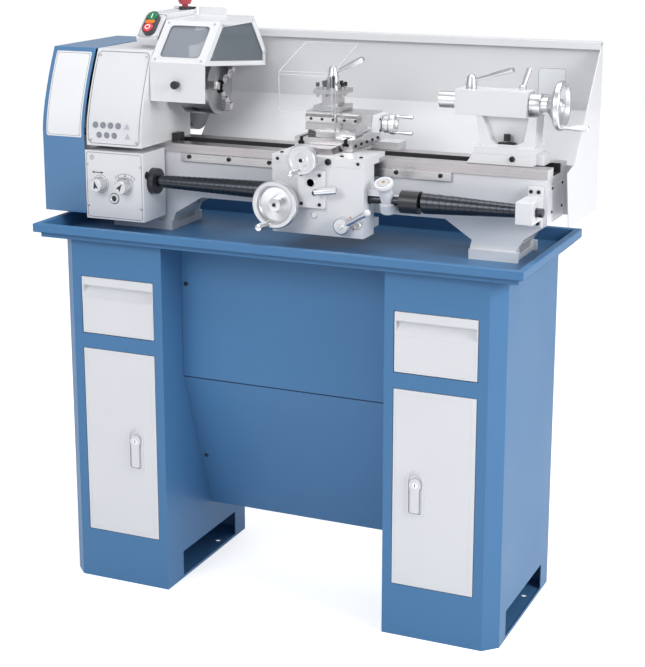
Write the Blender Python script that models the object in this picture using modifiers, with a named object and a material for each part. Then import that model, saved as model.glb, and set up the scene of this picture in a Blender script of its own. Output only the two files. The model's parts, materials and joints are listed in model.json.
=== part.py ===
"""Bench lathe on a sheet-metal cabinet stand, built piece by piece.

Sizes below are in millimetres in the lathe's own frame: X runs along the bed from the
headstock to the tailstock, Y from the operator to the back, Z up from the floor, and
X = 0, Y = 0 is the middle of the chip tray. The file itself is in metres, with its
origin under the middle of the whole machine.
"""
import bpy
import bmesh
import math
from mathutils import Matrix, Vector

# ---- frame -------------------------------------------------------------------------
MM = 0.001
MIDDLE_X, MIDDLE_Y = 19.0, 4.0
GAP = 0.3
SHEET = 2.0

# ---- stand -------------------------------------------------------------------------
TRAY_LENGTH, TRAY_WIDTH, TRAY_TOP = 1145.0, 445.0, 848.0
RIM_WIDTH, LIP_HEIGHT, PAN_DEPTH = 15.0, 19.0, 32.0
CABINET_INNER, CABINET_OUTER = 265.0, 524.0
CABINET_FRONT, CABINET_BACK = -187.0, 210.0
CABINET_TOP = TRAY_TOP - PAN_DEPTH - GAP
CORNER_CUT = 30.0
DOOR_X = (286.0, 472.0)
DOOR_Z = (119.0, 562.0)
DRAWER_Z = (596.0, 730.0)
FLOOR_WINDOW_Y, FLOOR_WINDOW_Z = (-113.0, 156.0), (6.0, 66.0)
PANEL_FRONT, PANEL_FOLD_Z = -95.0, 492.0
PANEL_FOOT_Y, PANEL_FOOT_Z = 34.0, 138.0

# ---- bed and spindle line ----------------------------------------------------------
TRAY_FLOOR = TRAY_TOP - PAN_DEPTH + SHEET
BED_TOP, BED_UNDERSIDE = 1019.0, 898.5
BED_LEFT, BED_RIGHT = -482.0, 562.0
BED_FRONT, BED_BACK = -33.0, 102.0
RAIL_HEIGHT, RAIL_WIDTH = 19.0, 40.0
CENTRE_Y, CENTRE_Z = 34.4, 1144.0
CHUCK_RADIUS, CHUCK_FACE = 62.5, -227.0

# ---- headstock end -----------------------------------------------------------------
FRONT_PLANE, COVER_TOP = -133.0, 1230.0
COVER_BEND_Z, COVER_LEAN = 1050.0, 62.0
HEAD_X = (-478.0, -338.0)
GEARBOX_X = (-484.3, -335.0)
GEARBOX_Z = (852.0, 1008.0)
CASE_X = (-594.0, -485.0)
CASE_Z, CASE_BACK = 862.0, 205.0
SCREW_Y, SCREW_Z = -90.0, 941.0

# ---- carriage ----------------------------------------------------------------------
SADDLE_X, SADDLE_FRONT, SADDLE_BACK = (-21.0, 189.0), -124.5, 130.0
SADDLE_Z = (1010.0, 1029.0)
APRON_Z = 860.0
CROSS_X, CROSS_FRONT, CROSS_BACK = (-2.0, 134.0), -50.0, 112.0
CROSS_Z = (1035.0, 1057.0)
CROSS_CENTRE = 66.0
POST_SIDE, POST_Y = 66.0, 8.0

# ---- tailstock ---------------------------------------------------------------------
TAIL_X = (344.0, 501.0)
TAIL_HALF = 31.0

PAINTS = {
    "blue_paint": ((0.09, 0.24, 0.45), 0.35, 0.0),
    "white_paint": ((0.84, 0.85, 0.87), 0.45, 0.0),
    "light_grey_paint": ((0.72, 0.73, 0.75), 0.45, 0.0),
    "ground_steel": ((0.56, 0.53, 0.52), 0.30, 1.0),
    "polished_steel": ((0.75, 0.75, 0.76), 0.18, 1.0),
    "dark_steel": ((0.06, 0.065, 0.07), 0.40, 0.8),
    "black_plastic": ((0.02, 0.02, 0.022), 0.45, 0.0),
    "green_plastic": ((0.01, 0.20, 0.09), 0.35, 0.0),
    "red_plastic": ((0.55, 0.02, 0.03), 0.35, 0.0),
    "belt_rubber": ((0.02, 0.02, 0.02), 0.80, 0.0),
    "clear_sheet": ((0.85, 0.88, 0.90), 0.08, 0.0),
}


def empty_scene():
    for old in list(bpy.data.objects):
        bpy.data.objects.remove(old, do_unlink=True)
    scene = bpy.context.scene.collection
    made = []
    for name in ("Bench lathe", "Cutters"):
        collection = bpy.data.collections.new(name)
        scene.children.link(collection)
        made.append(collection)
    return made


PARTS, TOOLS = empty_scene()
FRAME = Matrix.Scale(MM, 4) @ Matrix.Translation((-MIDDLE_X, -MIDDLE_Y, 0.0))


def make_finish(name):
    colour, roughness, metallic = PAINTS[name]
    material = bpy.data.materials.new(name)
    material.use_nodes = True
    shader = material.node_tree.nodes["Principled BSDF"]
    shader.inputs["Base Color"].default_value = (*colour, 1.0)
    shader.inputs["Roughness"].default_value = roughness
    shader.inputs["Metallic"].default_value = metallic
    return material


FINISHES = {name: make_finish(name) for name in PAINTS}


# ---- shapes ------------------------------------------------------------------------
def tool(mesh, name="shape"):
    """A hidden shape, ready to be cut, joined or kept."""
    shape = bpy.data.objects.new(name, mesh)
    TOOLS.objects.link(shape)
    shape.hide_render = True
    shape.display_type = "WIRE"
    return shape


def from_bmesh(bm, name):
    bmesh.ops.transform(bm, matrix=FRAME, verts=bm.verts)
    mesh = bpy.data.meshes.new(name)
    bm.to_mesh(mesh)
    bm.free()
    return tool(mesh, name)


def block(x, y, z, name="block"):
    bm = bmesh.new()
    bmesh.ops.create_cube(bm, size=1.0)
    size = [high - low for low, high in (x, y, z)]
    centre = [(high + low) / 2 for low, high in (x, y, z)]
    fit = Matrix.Translation(centre) @ Matrix.Diagonal((*size, 1.0))
    bmesh.ops.transform(bm, matrix=fit, verts=bm.verts)
    return from_bmesh(bm, name)


def rod(start, end, radius, end_radius=None, sides=20, name="rod"):
    start, end = Vector(start), Vector(end)
    bm = bmesh.new()
    bmesh.ops.create_cone(bm, cap_ends=True, segments=sides, radius1=radius,
                          radius2=radius if end_radius is None else end_radius,
                          depth=(end - start).length)
    turn = (end - start).to_track_quat("Z", "Y").to_matrix().to_4x4()
    bmesh.ops.transform(bm, matrix=Matrix.Translation((start + end) / 2) @ turn, verts=bm.verts)
    return from_bmesh(bm, name)


def ball(centre, radius, name="ball"):
    bm = bmesh.new()
    bmesh.ops.create_uvsphere(bm, u_segments=12, v_segments=8, radius=radius)
    bmesh.ops.transform(bm, matrix=Matrix.Translation(centre), verts=bm.verts)
    return from_bmesh(bm, name)


PLANES = {
    "X": Matrix(((0, 0, 1, 0), (1, 0, 0, 0), (0, 1, 0, 0), (0, 0, 0, 1))),
    "Y": Matrix(((1, 0, 0, 0), (0, 0, -1, 0), (0, 1, 0, 0), (0, 0, 0, 1))),
    "Z": Matrix.Identity(4),
}


def prism(outline, axis, low, high, name="prism"):
    """A flat outline pushed along an axis: (y, z) points for X, (x, z) for Y, (x, y) for Z."""
    curve = bpy.data.curves.new(name, "CURVE")
    curve.dimensions, curve.fill_mode = "2D", "BOTH"
    curve.extrude = (high - low) / 2
    spline = curve.splines.new("POLY")
    spline.points.add(len(outline) - 1)
    for point, (u, v) in zip(spline.points, outline):
        point.co = (u, v, 0.0, 1.0)
    spline.use_cyclic_u = True
    sketch = bpy.data.objects.new(name, curve)
    TOOLS.objects.link(sketch)
    graph = bpy.context.evaluated_depsgraph_get()
    mesh = bpy.data.meshes.new_from_object(sketch.evaluated_get(graph))
    bpy.data.objects.remove(sketch, do_unlink=True)
    bm = bmesh.new()
    bm.from_mesh(mesh)
    bpy.data.meshes.remove(mesh)
    bmesh.ops.remove_doubles(bm, verts=bm.verts, dist=0.01)
    sideways = -1 if axis == "Y" else 1
    slide = Matrix.Translation((0, 0, sideways * (low + high) / 2))
    bmesh.ops.transform(bm, matrix=PLANES[axis] @ slide, verts=bm.verts)
    bmesh.ops.recalc_face_normals(bm, faces=bm.faces)
    return from_bmesh(bm, name)


def turned(profile, base, direction, sides=28, name="turned"):
    """A lathe-turned shape. The profile's (radius, height) points run down the outer side,
    and both ends close on the axis unless the profile already meets it."""
    points = list(profile)
    if points[0][0] > 0:
        points.insert(0, (0.0, points[0][1]))
    if points[-1][0] > 0:
        points.append((0.0, points[-1][1]))
    mesh = bpy.data.meshes.new(name)
    mesh.from_pydata([(r * MM, 0.0, h * MM) for r, h in points],
                     [(i, i + 1) for i in range(len(points) - 1)], [])
    shape = tool(mesh, name)
    shape.location = FRAME @ Vector(base)
    shape.rotation_euler = Vector(direction).to_track_quat("Z", "Y").to_euler()
    screw = shape.modifiers.new("Turn", "SCREW")
    screw.steps = screw.render_steps = sides
    screw.use_merge_vertices = True
    screw.merge_threshold = 0.00001
    return shape


def boolean(target, others, operation):
    for other in others:
        step = target.modifiers.new(operation.title(), "BOOLEAN")
        step.operation, step.solver, step.object = operation, "EXACT", other
    return target


def cut(target, *others):
    return boolean(target, others, "DIFFERENCE")


def join(target, *others):
    return boolean(target, others, "UNION")


def baked(shape, place):
    """The shape with its modifiers applied, moved by a matrix in the lathe's own frame."""
    graph = bpy.context.evaluated_depsgraph_get()
    mesh = bpy.data.meshes.new_from_object(shape.evaluated_get(graph))
    mesh.transform(FRAME @ place @ FRAME.inverted())
    return tool(mesh, shape.name)


def piece(shape, name, finish, pivot=None):
    """Keeps a shape as a named piece; pivot is the point its origin sits on."""
    TOOLS.objects.unlink(shape)
    PARTS.objects.link(shape)
    shape.hide_render, shape.display_type = False, "TEXTURED"
    shape.name = name
    shape.data.materials.append(FINISHES[finish])
    if pivot is not None:
        centre = FRAME @ Vector(pivot)
        shape.data.transform(Matrix.Translation(-centre))
        shape.location = centre
    return shape


def mirrored(pairs, side):
    """An outline drawn for the right-hand side, flipped for side = -1."""
    return [(side * x, y) for x, y in pairs]


def span(low, high, side):
    return (low, high) if side > 0 else (-high, -low)


# ---- stand -------------------------------------------------------------------------
def cabinet_outline(inset):
    inner, outer = CABINET_INNER + inset, CABINET_OUTER - inset
    front, back = CABINET_FRONT + inset, CABINET_BACK - inset
    slope = CORNER_CUT - inset * (math.sqrt(2) - 1)
    return [(inner, front), (outer - slope, front), (outer, front + slope), (outer, back), (inner, back)]


def cabinet(name, side):
    shell = prism(mirrored(cabinet_outline(0.0), side), "Z", 0.0, CABINET_TOP)
    inside = mirrored(cabinet_outline(SHEET), side)
    shelf = 577.0
    floor = 103.0
    for low, high in ((3.0, floor - 3), (floor, shelf), (shelf + 3, CABINET_TOP - SHEET)):
        cut(shell, prism(inside, "Z", low, high))
    mouth = (CABINET_FRONT - 3, CABINET_FRONT + 3)
    cut(shell, block(span(*DOOR_X, side), mouth, DOOR_Z))
    cut(shell, block(span(*DOOR_X, side), mouth, DRAWER_Z))
    cut(shell, block(span(CABINET_INNER - 5, CABINET_OUTER + 5, side), FLOOR_WINDOW_Y, FLOOR_WINDOW_Z))
    for x in (290.0, 499.0):
        for y in (-90.0, 110.0):
            cut(shell, rod((side * x, y, -1), (side * x, y, 4), 7.0, sides=12))
    for x in (289.5, 460.5):
        join(shell, block(span(x, x + 8, side), (-165, 140), (shelf + 1, 599.6)))
    return piece(shell, name, "blue_paint")


def drawer(name, side):
    x = (DOOR_X[0] + 1.4, DOOR_X[1] - 1.4)
    z = (DRAWER_Z[0] + 1.4, DRAWER_Z[1] - 1.4)
    front = block(span(*x, side), (CABINET_FRONT, CABINET_FRONT + 18), z)
    face = CABINET_FRONT
    grip = [(face - 3, 709), (face + 13, 709), (face + 14, 700), (face, 681), (face - 3, 681)]
    grip_x = span(x[0] + 3, x[1] - 3, side)
    cut(front, prism(grip, "X", *grip_x))
    join(front, block(span(291.5, 466.5, side), (face + 17, 110), (600, 712)))
    cut(front, block(span(293.5, 464.5, side), (face + 19, 108), (602, 714)))
    return piece(front, name, "light_grey_paint", (side * 379, face, 663))


LATCH_X, LATCH_PIVOT = 340.0, (-190.5, 367.0)


def door(name, side):
    x = (DOOR_X[0] + 1.4, DOOR_X[1] - 1.4)
    z = (DOOR_Z[0] + 1.4, DOOR_Z[1] - 1.4)
    face, depth = CABINET_FRONT, 14.0
    leaf = block(span(*x, side), (face, face + depth), z)
    cut(leaf, block(span(x[0] + 2, x[1] - 2, side), (face + 3, face + depth + 1), (z[0] + 2, z[1] - 2)))
    centre = side * LATCH_X
    cup = prism(plate_outline(centre, 37, 284, 382, 17), "Y", face - 4, face + 1)
    join(leaf, cup)
    cut(leaf, prism(plate_outline(centre, 31, 288, 380, 15), "Y", face - 5, face))
    pivot = (side * 470.0, face + 1.5, 340)
    return piece(leaf, name, "light_grey_paint", pivot)


def plate_outline(x, width, low, high, radius, steps=4):
    """An upright rounded plate: round at the top corners, softer at the bottom ones."""
    half = width / 2
    points = []
    for cx, cz, r, start in ((x + half, high, radius, 0), (x - half, high, radius, 90),
                             (x - half, low, radius / 2, 180), (x + half, low, radius / 2, 270)):
        mid_x = cx - math.copysign(r, cx - x)
        mid_z = cz - (r if cz == high else -r)
        for i in range(steps + 1):
            angle = math.radians(start + 90 * i / steps)
            points.append((mid_x + r * math.cos(angle), mid_z + r * math.sin(angle)))
    return points


def door_latch(name, side):
    centre = side * LATCH_X
    y = (-193.5, -188.0)
    lever = prism(plate_outline(centre, 18, 291, 368, 8), "Y", *y)
    join(lever, rod((centre, y[0], 354), (centre, y[1], 354), 13.5, sides=20))
    return piece(lever, name, "light_grey_paint", (centre, *LATCH_PIVOT))


def chip_tray():
    half_x, half_y = TRAY_LENGTH / 2, TRAY_WIDTH / 2

    def slab(inset, low, high):
        return block((-half_x + inset, half_x - inset), (-half_y + inset, half_y - inset), (low, high))

    tray = slab(0.0, TRAY_TOP - LIP_HEIGHT, TRAY_TOP)
    cut(tray, slab(SHEET, TRAY_TOP - LIP_HEIGHT - 1, TRAY_TOP - SHEET))
    join(tray, slab(RIM_WIDTH - SHEET, TRAY_TOP - PAN_DEPTH, TRAY_TOP))
    cut(tray, slab(RIM_WIDTH, TRAY_FLOOR, TRAY_TOP + 1))
    return piece(tray, "chip_tray", "blue_paint")


def rear_panels():
    x = (-CABINET_INNER + GAP, CABINET_INNER - GAP)
    front = PANEL_FRONT
    upper = block(x, (front, front + SHEET), (PANEL_FOLD_Z + 1, CABINET_TOP))
    for low, high in ((x[0], x[0] + SHEET), (x[1] - SHEET, x[1])):
        join(upper, block((low, high), (front + 1, front + 22), (PANEL_FOLD_Z + 8, CABINET_TOP)))
    join(upper, block(x, (front + 1, front + 22), (CABINET_TOP - SHEET, CABINET_TOP)))
    piece(upper, "upper_rear_panel", "blue_paint")
    top, foot_y, foot_z = PANEL_FOLD_Z, PANEL_FOOT_Y, PANEL_FOOT_Z
    sheet = [(front, top), (front + 2.2, top), (foot_y + 2.2, foot_z), (foot_y, foot_z)]
    lower = prism(sheet, "X", *x)
    flange = [(front, top), (front + 22, top - 4), (foot_y + 22, foot_z + 4), (foot_y, foot_z)]
    for low, high in ((x[0], x[0] + SHEET), (x[1] - SHEET, x[1])):
        join(lower, prism(flange, "X", low, high))
    piece(lower, "lower_rear_panel", "blue_paint")


# ---- bed ---------------------------------------------------------------------------
def bed():
    base = TRAY_FLOOR + GAP
    rail_under = BED_TOP - RAIL_HEIGHT
    side_view = [(BED_LEFT, rail_under), (BED_LEFT, 868), (-470, 858), (-470, base), (-318, base),
                 (-318, 843), (-312, 858), (-245, BED_UNDERSIDE), (339, BED_UNDERSIDE), (400, 858),
                 (396, 843), (395.5, base), (497.5, base), (498, 844), (514, 868),
                 (BED_RIGHT, 902), (BED_RIGHT, rail_under)]
    web_front, web_back, wall = BED_FRONT + 4, BED_BACK - 4, 12.0
    casting = prism(side_view, "Y", web_front, web_back)
    inner = (web_front + wall, web_back - wall)
    for low, high, floor in ((-470, -324, 852), (-312, -176, 840), (-164, -20, 840), (-8, 136, 840),
                             (148, 292, 840), (304, 392, 840), (404, 548, 862)):
        cut(casting, block((low, high), inner, (floor, BED_TOP + 5)))
    for rail in ((BED_FRONT, BED_FRONT + RAIL_WIDTH), (BED_BACK - RAIL_WIDTH, BED_BACK)):
        join(casting, block((BED_LEFT, BED_RIGHT), rail, (rail_under - 1, BED_TOP)))
    for x in ((-470, -317), (396, 505)):
        for y in ((web_front - 9, web_front + 1), (web_back - 1, web_back + 8)):
            join(casting, block(x, y, (base, base + 22)))
    cut(casting, block((404, 510), (web_front + 24, web_back - 24), (base + 14, 852)))
    cut(casting, block((-330, -300), (web_front + 24, web_back - 24), (base + 14, 848)))
    piece(casting, "bed", "white_paint")
    rack = block((-292, 354), (BED_FRONT - 4.0, web_front - GAP), (980.5, rail_under - 1 - GAP))
    piece(rack, "rack", "ground_steel")


def cover_profile(inset=0.0, low=CASE_Z, back=CASE_BACK, steps=6):
    """Side view of the cases: upright in front, then leaning back in a slow curve."""
    front, top = FRONT_PLANE + inset, COVER_TOP - inset
    points = [(back - inset, top), (back - inset, low), (front, low), (front, COVER_BEND_Z)]
    for i in range(1, steps + 1):
        t = i / steps
        z = COVER_BEND_Z + (top - COVER_BEND_Z) * t
        points.append((front + COVER_LEAN * t ** 1.45, z))
    return points


def headstock():
    foot = BED_TOP + GAP
    casting = prism(cover_profile(low=foot, back=97), "X", *HEAD_X)
    cut(casting, prism(cover_profile(8.0, low=foot + 10, back=97), "X", HEAD_X[0] - 1, HEAD_X[1] - 10))
    spindle_line = [(x, CENTRE_Y, CENTRE_Z) for x in (HEAD_X[0] + 0.5, HEAD_X[0] + 30)]
    join(casting, block((HEAD_X[0], HEAD_X[0] + 14), (CENTRE_Y - 70, 96), (foot, 1215)))
    join(casting, rod(spindle_line[0], spindle_line[1], 42))
    join(casting, rod((HEAD_X[1] - 40, CENTRE_Y, CENTRE_Z), (HEAD_X[1] - 1, CENTRE_Y, CENTRE_Z), 42))
    bore = rod((HEAD_X[0] - 5, CENTRE_Y, CENTRE_Z), (HEAD_X[1] + 5, CENTRE_Y, CENTRE_Z), 17.3, sides=24)
    cut(casting, bore)
    arm = [(70, 1225), (150, 1225), (196, 1236), (196, 1256), (70, 1256)]
    join(casting, prism(arm, "X", HEAD_X[1] - 5, HEAD_X[1]))
    join(casting, rod((HEAD_X[1] - 5, *GUARD_PIVOT), (GUARD_X[0] + 56, *GUARD_PIVOT), 4.0, sides=14))
    piece(casting, "headstock", "white_paint")


def gearbox():
    x, z = GEARBOX_X, GEARBOX_Z
    box = block(x, (FRONT_PLANE, BED_FRONT - GAP), z)
    cut(box, block((x[0] + 5, x[1] - 5), (FRONT_PLANE + 6, BED_FRONT - GAP + 1), (z[0] + 5, z[1] - 5)))
    for knob_x in KNOB_X:
        cut(box, rod((knob_x, FRONT_PLANE - 5, KNOB_Z), (knob_x, FRONT_PLANE + 12, KNOB_Z), 5.3, sides=16))
    join(box, rod((x[1] - 1, SCREW_Y, SCREW_Z), (x[1] + 15, SCREW_Y, SCREW_Z), 29, sides=28))
    cut(box, rod((x[0] - 5, SCREW_Y, SCREW_Z), (x[1] + 20, SCREW_Y, SCREW_Z), 11.3))
    piece(box, "feed_gearbox", "white_paint")


KNOB_X, KNOB_Z = (-444.5, -381.5), 933.0


def selector_knob(name, x):
    front = FRONT_PLANE
    knob = rod((x, front - 26, KNOB_Z), (x, front - GAP, KNOB_Z), 15, 16.5, sides=28)
    join(knob, rod((x, front - 2, KNOB_Z), (x, front + 22, KNOB_Z), 5, sides=14))
    piece(knob, name, "polished_steel", (x, front, KNOB_Z))


def gear_case():
    case = prism(cover_profile(), "X", *CASE_X)
    cut(case, prism(cover_profile(3.0, low=CASE_Z + 3), "X", CASE_X[0] + 3, CASE_X[1] + 1))
    piece(case, "gear_cover", "blue_paint", (CASE_X[1] + 1, CASE_BACK, 1000))


def gear(x, centre, radius, width, teeth, bore, name):
    """A spur gear on the X axis, with plain straight-sided teeth."""
    points = []
    for i in range(teeth):
        for part, r in ((0.0, radius - 3.0), (0.22, radius), (0.5, radius), (0.72, radius - 3.0)):
            angle = 2 * math.pi * (i + part) / teeth
            points.append((centre[0] + r * math.cos(angle), centre[1] + r * math.sin(angle)))
    wheel = prism(points, "X", x, x + width, name)
    if bore:
        cut(wheel, rod((x - 1, *centre), (x + width + 1, *centre), bore, sides=16))
    return wheel


SPINDLE_GEAR, IDLER_GEAR, SCREW_GEAR = 50, 81, 26
IDLER_AT = (-34.0, 1032.4)
MOTOR_AT = (160.0, 1080.0)
PULLEY_X, PULLEY_WIDTH = -530.0, 14.0
SPINDLE_PULLEY_R, MOTOR_PULLEY_R = 52.0, 24.0


def drive():
    line = [(x, CENTRE_Y, CENTRE_Z) for x in (-560.0, -316.3)]
    spindle = rod(line[0], line[1], 16.8, sides=28)
    join(spindle, rod((PULLEY_X, CENTRE_Y, CENTRE_Z), (PULLEY_X + PULLEY_WIDTH, CENTRE_Y, CENTRE_Z),
                      SPINDLE_PULLEY_R, sides=32))
    gear_radius = GEAR_MODULE * SPINDLE_GEAR / 2 - 0.4
    join(spindle, gear(-556.0, (CENTRE_Y, CENTRE_Z), gear_radius, 10, SPINDLE_GEAR, 0, "spindle gear"))
    join(spindle, rod((HEAD_X[1] + GAP, CENTRE_Y, CENTRE_Z), (-316.3, CENTRE_Y, CENTRE_Z), 40, sides=28))
    cut(spindle, rod((-561, CENTRE_Y, CENTRE_Z), (-315, CENTRE_Y, CENTRE_Z), 10, sides=20))
    piece(spindle, "spindle", "polished_steel", (0, CENTRE_Y, CENTRE_Z))

    motor = rod((-476, *MOTOR_AT), (-346, *MOTOR_AT), 58, sides=32)
    join(motor, rod((-487, *MOTOR_AT), (-470, *MOTOR_AT), 30, sides=24))
    join(motor, block((-440, -380), (80, 104), (MOTOR_AT[1] + 4, MOTOR_AT[1] + 44)))
    cut(motor, block((-445, -375), (60, 97 + GAP), (MOTOR_AT[1] - 60, MOTOR_AT[1] + 90)))
    cut(motor, rod((-490, *MOTOR_AT), (-468, *MOTOR_AT), 8.3, sides=16))
    piece(motor, "motor", "dark_steel")
    pulley = rod((PULLEY_X, *MOTOR_AT), (PULLEY_X + PULLEY_WIDTH, *MOTOR_AT), MOTOR_PULLEY_R, sides=24)
    join(pulley, rod((PULLEY_X - 2, *MOTOR_AT), (-469, *MOTOR_AT), 8, sides=16))
    piece(pulley, "motor_pulley", "dark_steel", (0, *MOTOR_AT))
    piece(belt(), "drive_belt", "belt_rubber")


GEAR_MODULE = 2.0


def belt_outline(extra, steps=12):
    """The outline of a belt round both pulleys, grown by extra."""
    big, small = Vector((CENTRE_Y, CENTRE_Z)), Vector(MOTOR_AT)
    reach = small - big
    heading = math.atan2(reach.y, reach.x)
    tilt = math.acos((SPINDLE_PULLEY_R - MOTOR_PULLEY_R) / reach.length)
    points = []
    for centre, radius, first, last in ((big, SPINDLE_PULLEY_R, heading + tilt, heading + 2 * math.pi - tilt),
                                        (small, MOTOR_PULLEY_R, heading - tilt, heading + tilt)):
        for i in range(steps + 1):
            angle = first + (last - first) * i / steps
            points.append((centre.x + (radius + extra) * math.cos(angle),
                           centre.y + (radius + extra) * math.sin(angle)))
    return points


def belt():
    band = prism(belt_outline(4.5), "X", PULLEY_X + 2, PULLEY_X + PULLEY_WIDTH - 2, "belt")
    return cut(band, prism(belt_outline(0.8), "X", PULLEY_X, PULLEY_X + PULLEY_WIDTH))


def feed_train():
    wheel = gear(-556.0, IDLER_AT, GEAR_MODULE * IDLER_GEAR / 2 - 0.4, 10, IDLER_GEAR, 0, "idler")
    join(wheel, rod((-562, *IDLER_AT), (-488, *IDLER_AT), 8, sides=16))
    piece(wheel, "idler_gear", "ground_steel", (0, *IDLER_AT))
    screw = rod((-558, SCREW_Y, SCREW_Z), (571, SCREW_Y, SCREW_Z), 9.5, sides=20)
    join(screw, gear(-556.0, (SCREW_Y, SCREW_Z), GEAR_MODULE * SCREW_GEAR / 2 - 0.4, 10, SCREW_GEAR, 0,
                     "screw gear"))
    piece(screw, "leadscrew", "dark_steel", (0, SCREW_Y, SCREW_Z))


def leadscrew_carriers():
    line = (SCREW_Y, SCREW_Z)
    bracket = block((519, 556), (SCREW_Y - 25, BED_FRONT - 8), (SCREW_Z - 23, SCREW_Z + 23))
    join(bracket, block((523, 553), (BED_FRONT - 9, BED_FRONT + 4 - GAP), (SCREW_Z - 42, SCREW_Z + 42)))
    cut(bracket, rod((510, *line), (560, *line), 9.9))
    piece(bracket, "leadscrew_bracket", "white_paint")
    left = rod((-319.5, *line), (SADDLE_X[0] - 1, *line), 14.0, 20.5, sides=24)
    cut(left, rod((-325, *line), (SADDLE_X[0] + 5, *line), 11.5))
    piece(left, "left_screw_cover", "dark_steel")
    right = rod((306, *line), (518.5, *line), 22.5, 14.0, sides=24)
    cut(right, rod((300, *line), (525, *line), 11.5))
    piece(right, "right_screw_cover", "dark_steel")


def cover_cup():
    """The black cup on the apron's arm that the right-hand screw cover starts from."""
    line = (SCREW_Y, SCREW_Z)
    cup = rod((264, *line), (305.5, *line), 24.5, sides=24)
    cut(cup, rod((263, *line), (299, *line), 22, sides=24))
    cut(cup, rod((262, *line), (307, *line), 11.5))
    arm = block((SADDLE_X[1] + 1, 262), (SCREW_Y + 14, SCREW_Y + 30), (SCREW_Z - 6, SCREW_Z + 6))
    join(arm, block((258, 270), (SCREW_Y + 18, SCREW_Y + 30), (SCREW_Z - 6, SCREW_Z + 6)))
    return join(cup, arm)


# ---- control box and chuck guard ---------------------------------------------------
BOX_X = (-398.0, -343.5)
BOX_SLOPE = ((-40.0, 1254.0), (10.0, 1305.0))


def slope_point(along, out):
    """A (y, z) point on the control box's sloping face, pushed out of it."""
    (y0, z0), (y1, z1) = BOX_SLOPE
    length = math.hypot(y1 - y0, z1 - z0)
    up = ((y1 - y0) / length, (z1 - z0) / length)
    return (y0 + up[0] * along - up[1] * out, z0 + up[1] * along + up[0] * out)


STATION_X, GREEN_AT, RED_AT = -369.5, 52.0, 20.0


def control_box():
    (y0, z0), (y1, z1) = BOX_SLOPE
    side = [(y0, z0), (y1, z1), (140, z1 + 1), (140, 1236), (-30, 1236), (-36, 1246)]
    box = prism(side, "X", *BOX_X)
    for z in ((COVER_TOP + GAP, 1237),):
        join(box, block((BOX_X[0] + 4, BOX_X[1] - 2), (-20, 92), z))
    for along in (GREEN_AT, RED_AT):
        cut(box, rod((STATION_X, *slope_point(along, 5)), (STATION_X, *slope_point(along, -14)), 6, sides=16))
    join(box, block((BOX_X[0], -338.0), (138, 140), (1296, 1312)))
    join(box, rod((*STOP_AT, z1 - 1), (*STOP_AT, z1 + 7.5), 14.5, sides=24))
    cut(box, rod((*STOP_AT, 1288), (*STOP_AT, 1320), 7, sides=16))
    piece(box, "control_box", "white_paint")

    half = (GREEN_AT - RED_AT) / 2
    arc = [math.radians(15 * i) for i in range(13)]
    outline = [(14.8 * math.cos(a), half + 14.8 * math.sin(a)) for a in arc]
    outline += [(-u, -v) for u, v in outline]
    station = prism(outline, "Z", 0, 12.7)
    for v in (-half, half):
        cut(station, rod((0, v, -3), (0, v, 20), 5.8, sides=16), rod((0, v, 7), (0, v, 22), 12.6, sides=24))
    up = Vector((0, y1 - y0, z1 - z0)).normalized()
    tilt = Matrix((Vector((1, 0, 0)), up, Vector((1, 0, 0)).cross(up))).transposed().to_4x4()
    foot = (STATION_X, *slope_point((GREEN_AT + RED_AT) / 2, GAP))
    station = baked(station, Matrix.Translation(foot) @ tilt)
    piece(station, "button_station", "black_plastic")
    buttons = (("start_button", GREEN_AT, "green_plastic"), ("stop_button", RED_AT, "red_plastic"))
    for name, along, finish in buttons:
        inner, low, middle, high = [(STATION_X, *slope_point(along, out)) for out in (-8, 10.6, 12, 15)]
        cap = rod(low, high, 12.2, sides=24)
        join(cap, rod(inner, middle, 5.4, sides=16))
        piece(cap, name, finish, middle)


STOP_AT = (-360.0, 123.0)


def emergency_stop():
    x, y = STOP_AT
    top = BOX_SLOPE[1][1] + 1
    head = rod((x, y, top + 13), (x, y, top + 33), 15.5, 14.5, sides=28)
    join(head, rod((x, y, top - 10), (x, y, top + 14), 6.6, sides=16))
    piece(head, "emergency_stop", "red_plastic", (x, y, top))


GUARD_X = (-336.5, -200.0)
GUARD_PIVOT = (185.0, 1245.0)
GUARD_SIDE = [(-90.0, 1121.0), (-88.0, 1207.0), (-8.0, 1293.0), (157.0, 1294.0), (217.0, 1214.0),
              (217.0, 1175.0), (-85.0, 1203.0), (-87.8, 1121.0)]
GUARD_INSIDE = [(-86.0, 1190.0), (-86.0, 1206.5), (-7.1, 1291.0), (156.0, 1292.0), (215.0, 1213.3),
                (215.0, 1165.0)]
WINDOW_SIDE = [(-62.0, 1212.0), (1.0, 1280.0), (147.0, 1280.0), (204.0, 1206.0), (204.0, 1187.0)]


def offset_line(points, distance):
    """Moves an open outline sideways by a distance, to its left."""
    moved = []
    for i, point in enumerate(points):
        here = Vector(point)
        before = (here - Vector(points[i - 1])).normalized() if i else None
        after = (Vector(points[i + 1]) - here).normalized() if i < len(points) - 1 else None
        heading = ((before or after) + (after or before)).normalized()
        normal = Vector((-heading.y, heading.x))
        lean = 1 / max(0.35, normal.dot(Vector((-(before or after).y, (before or after).x))))
        moved.append(tuple(here + normal * distance * lean))
    return moved


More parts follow.
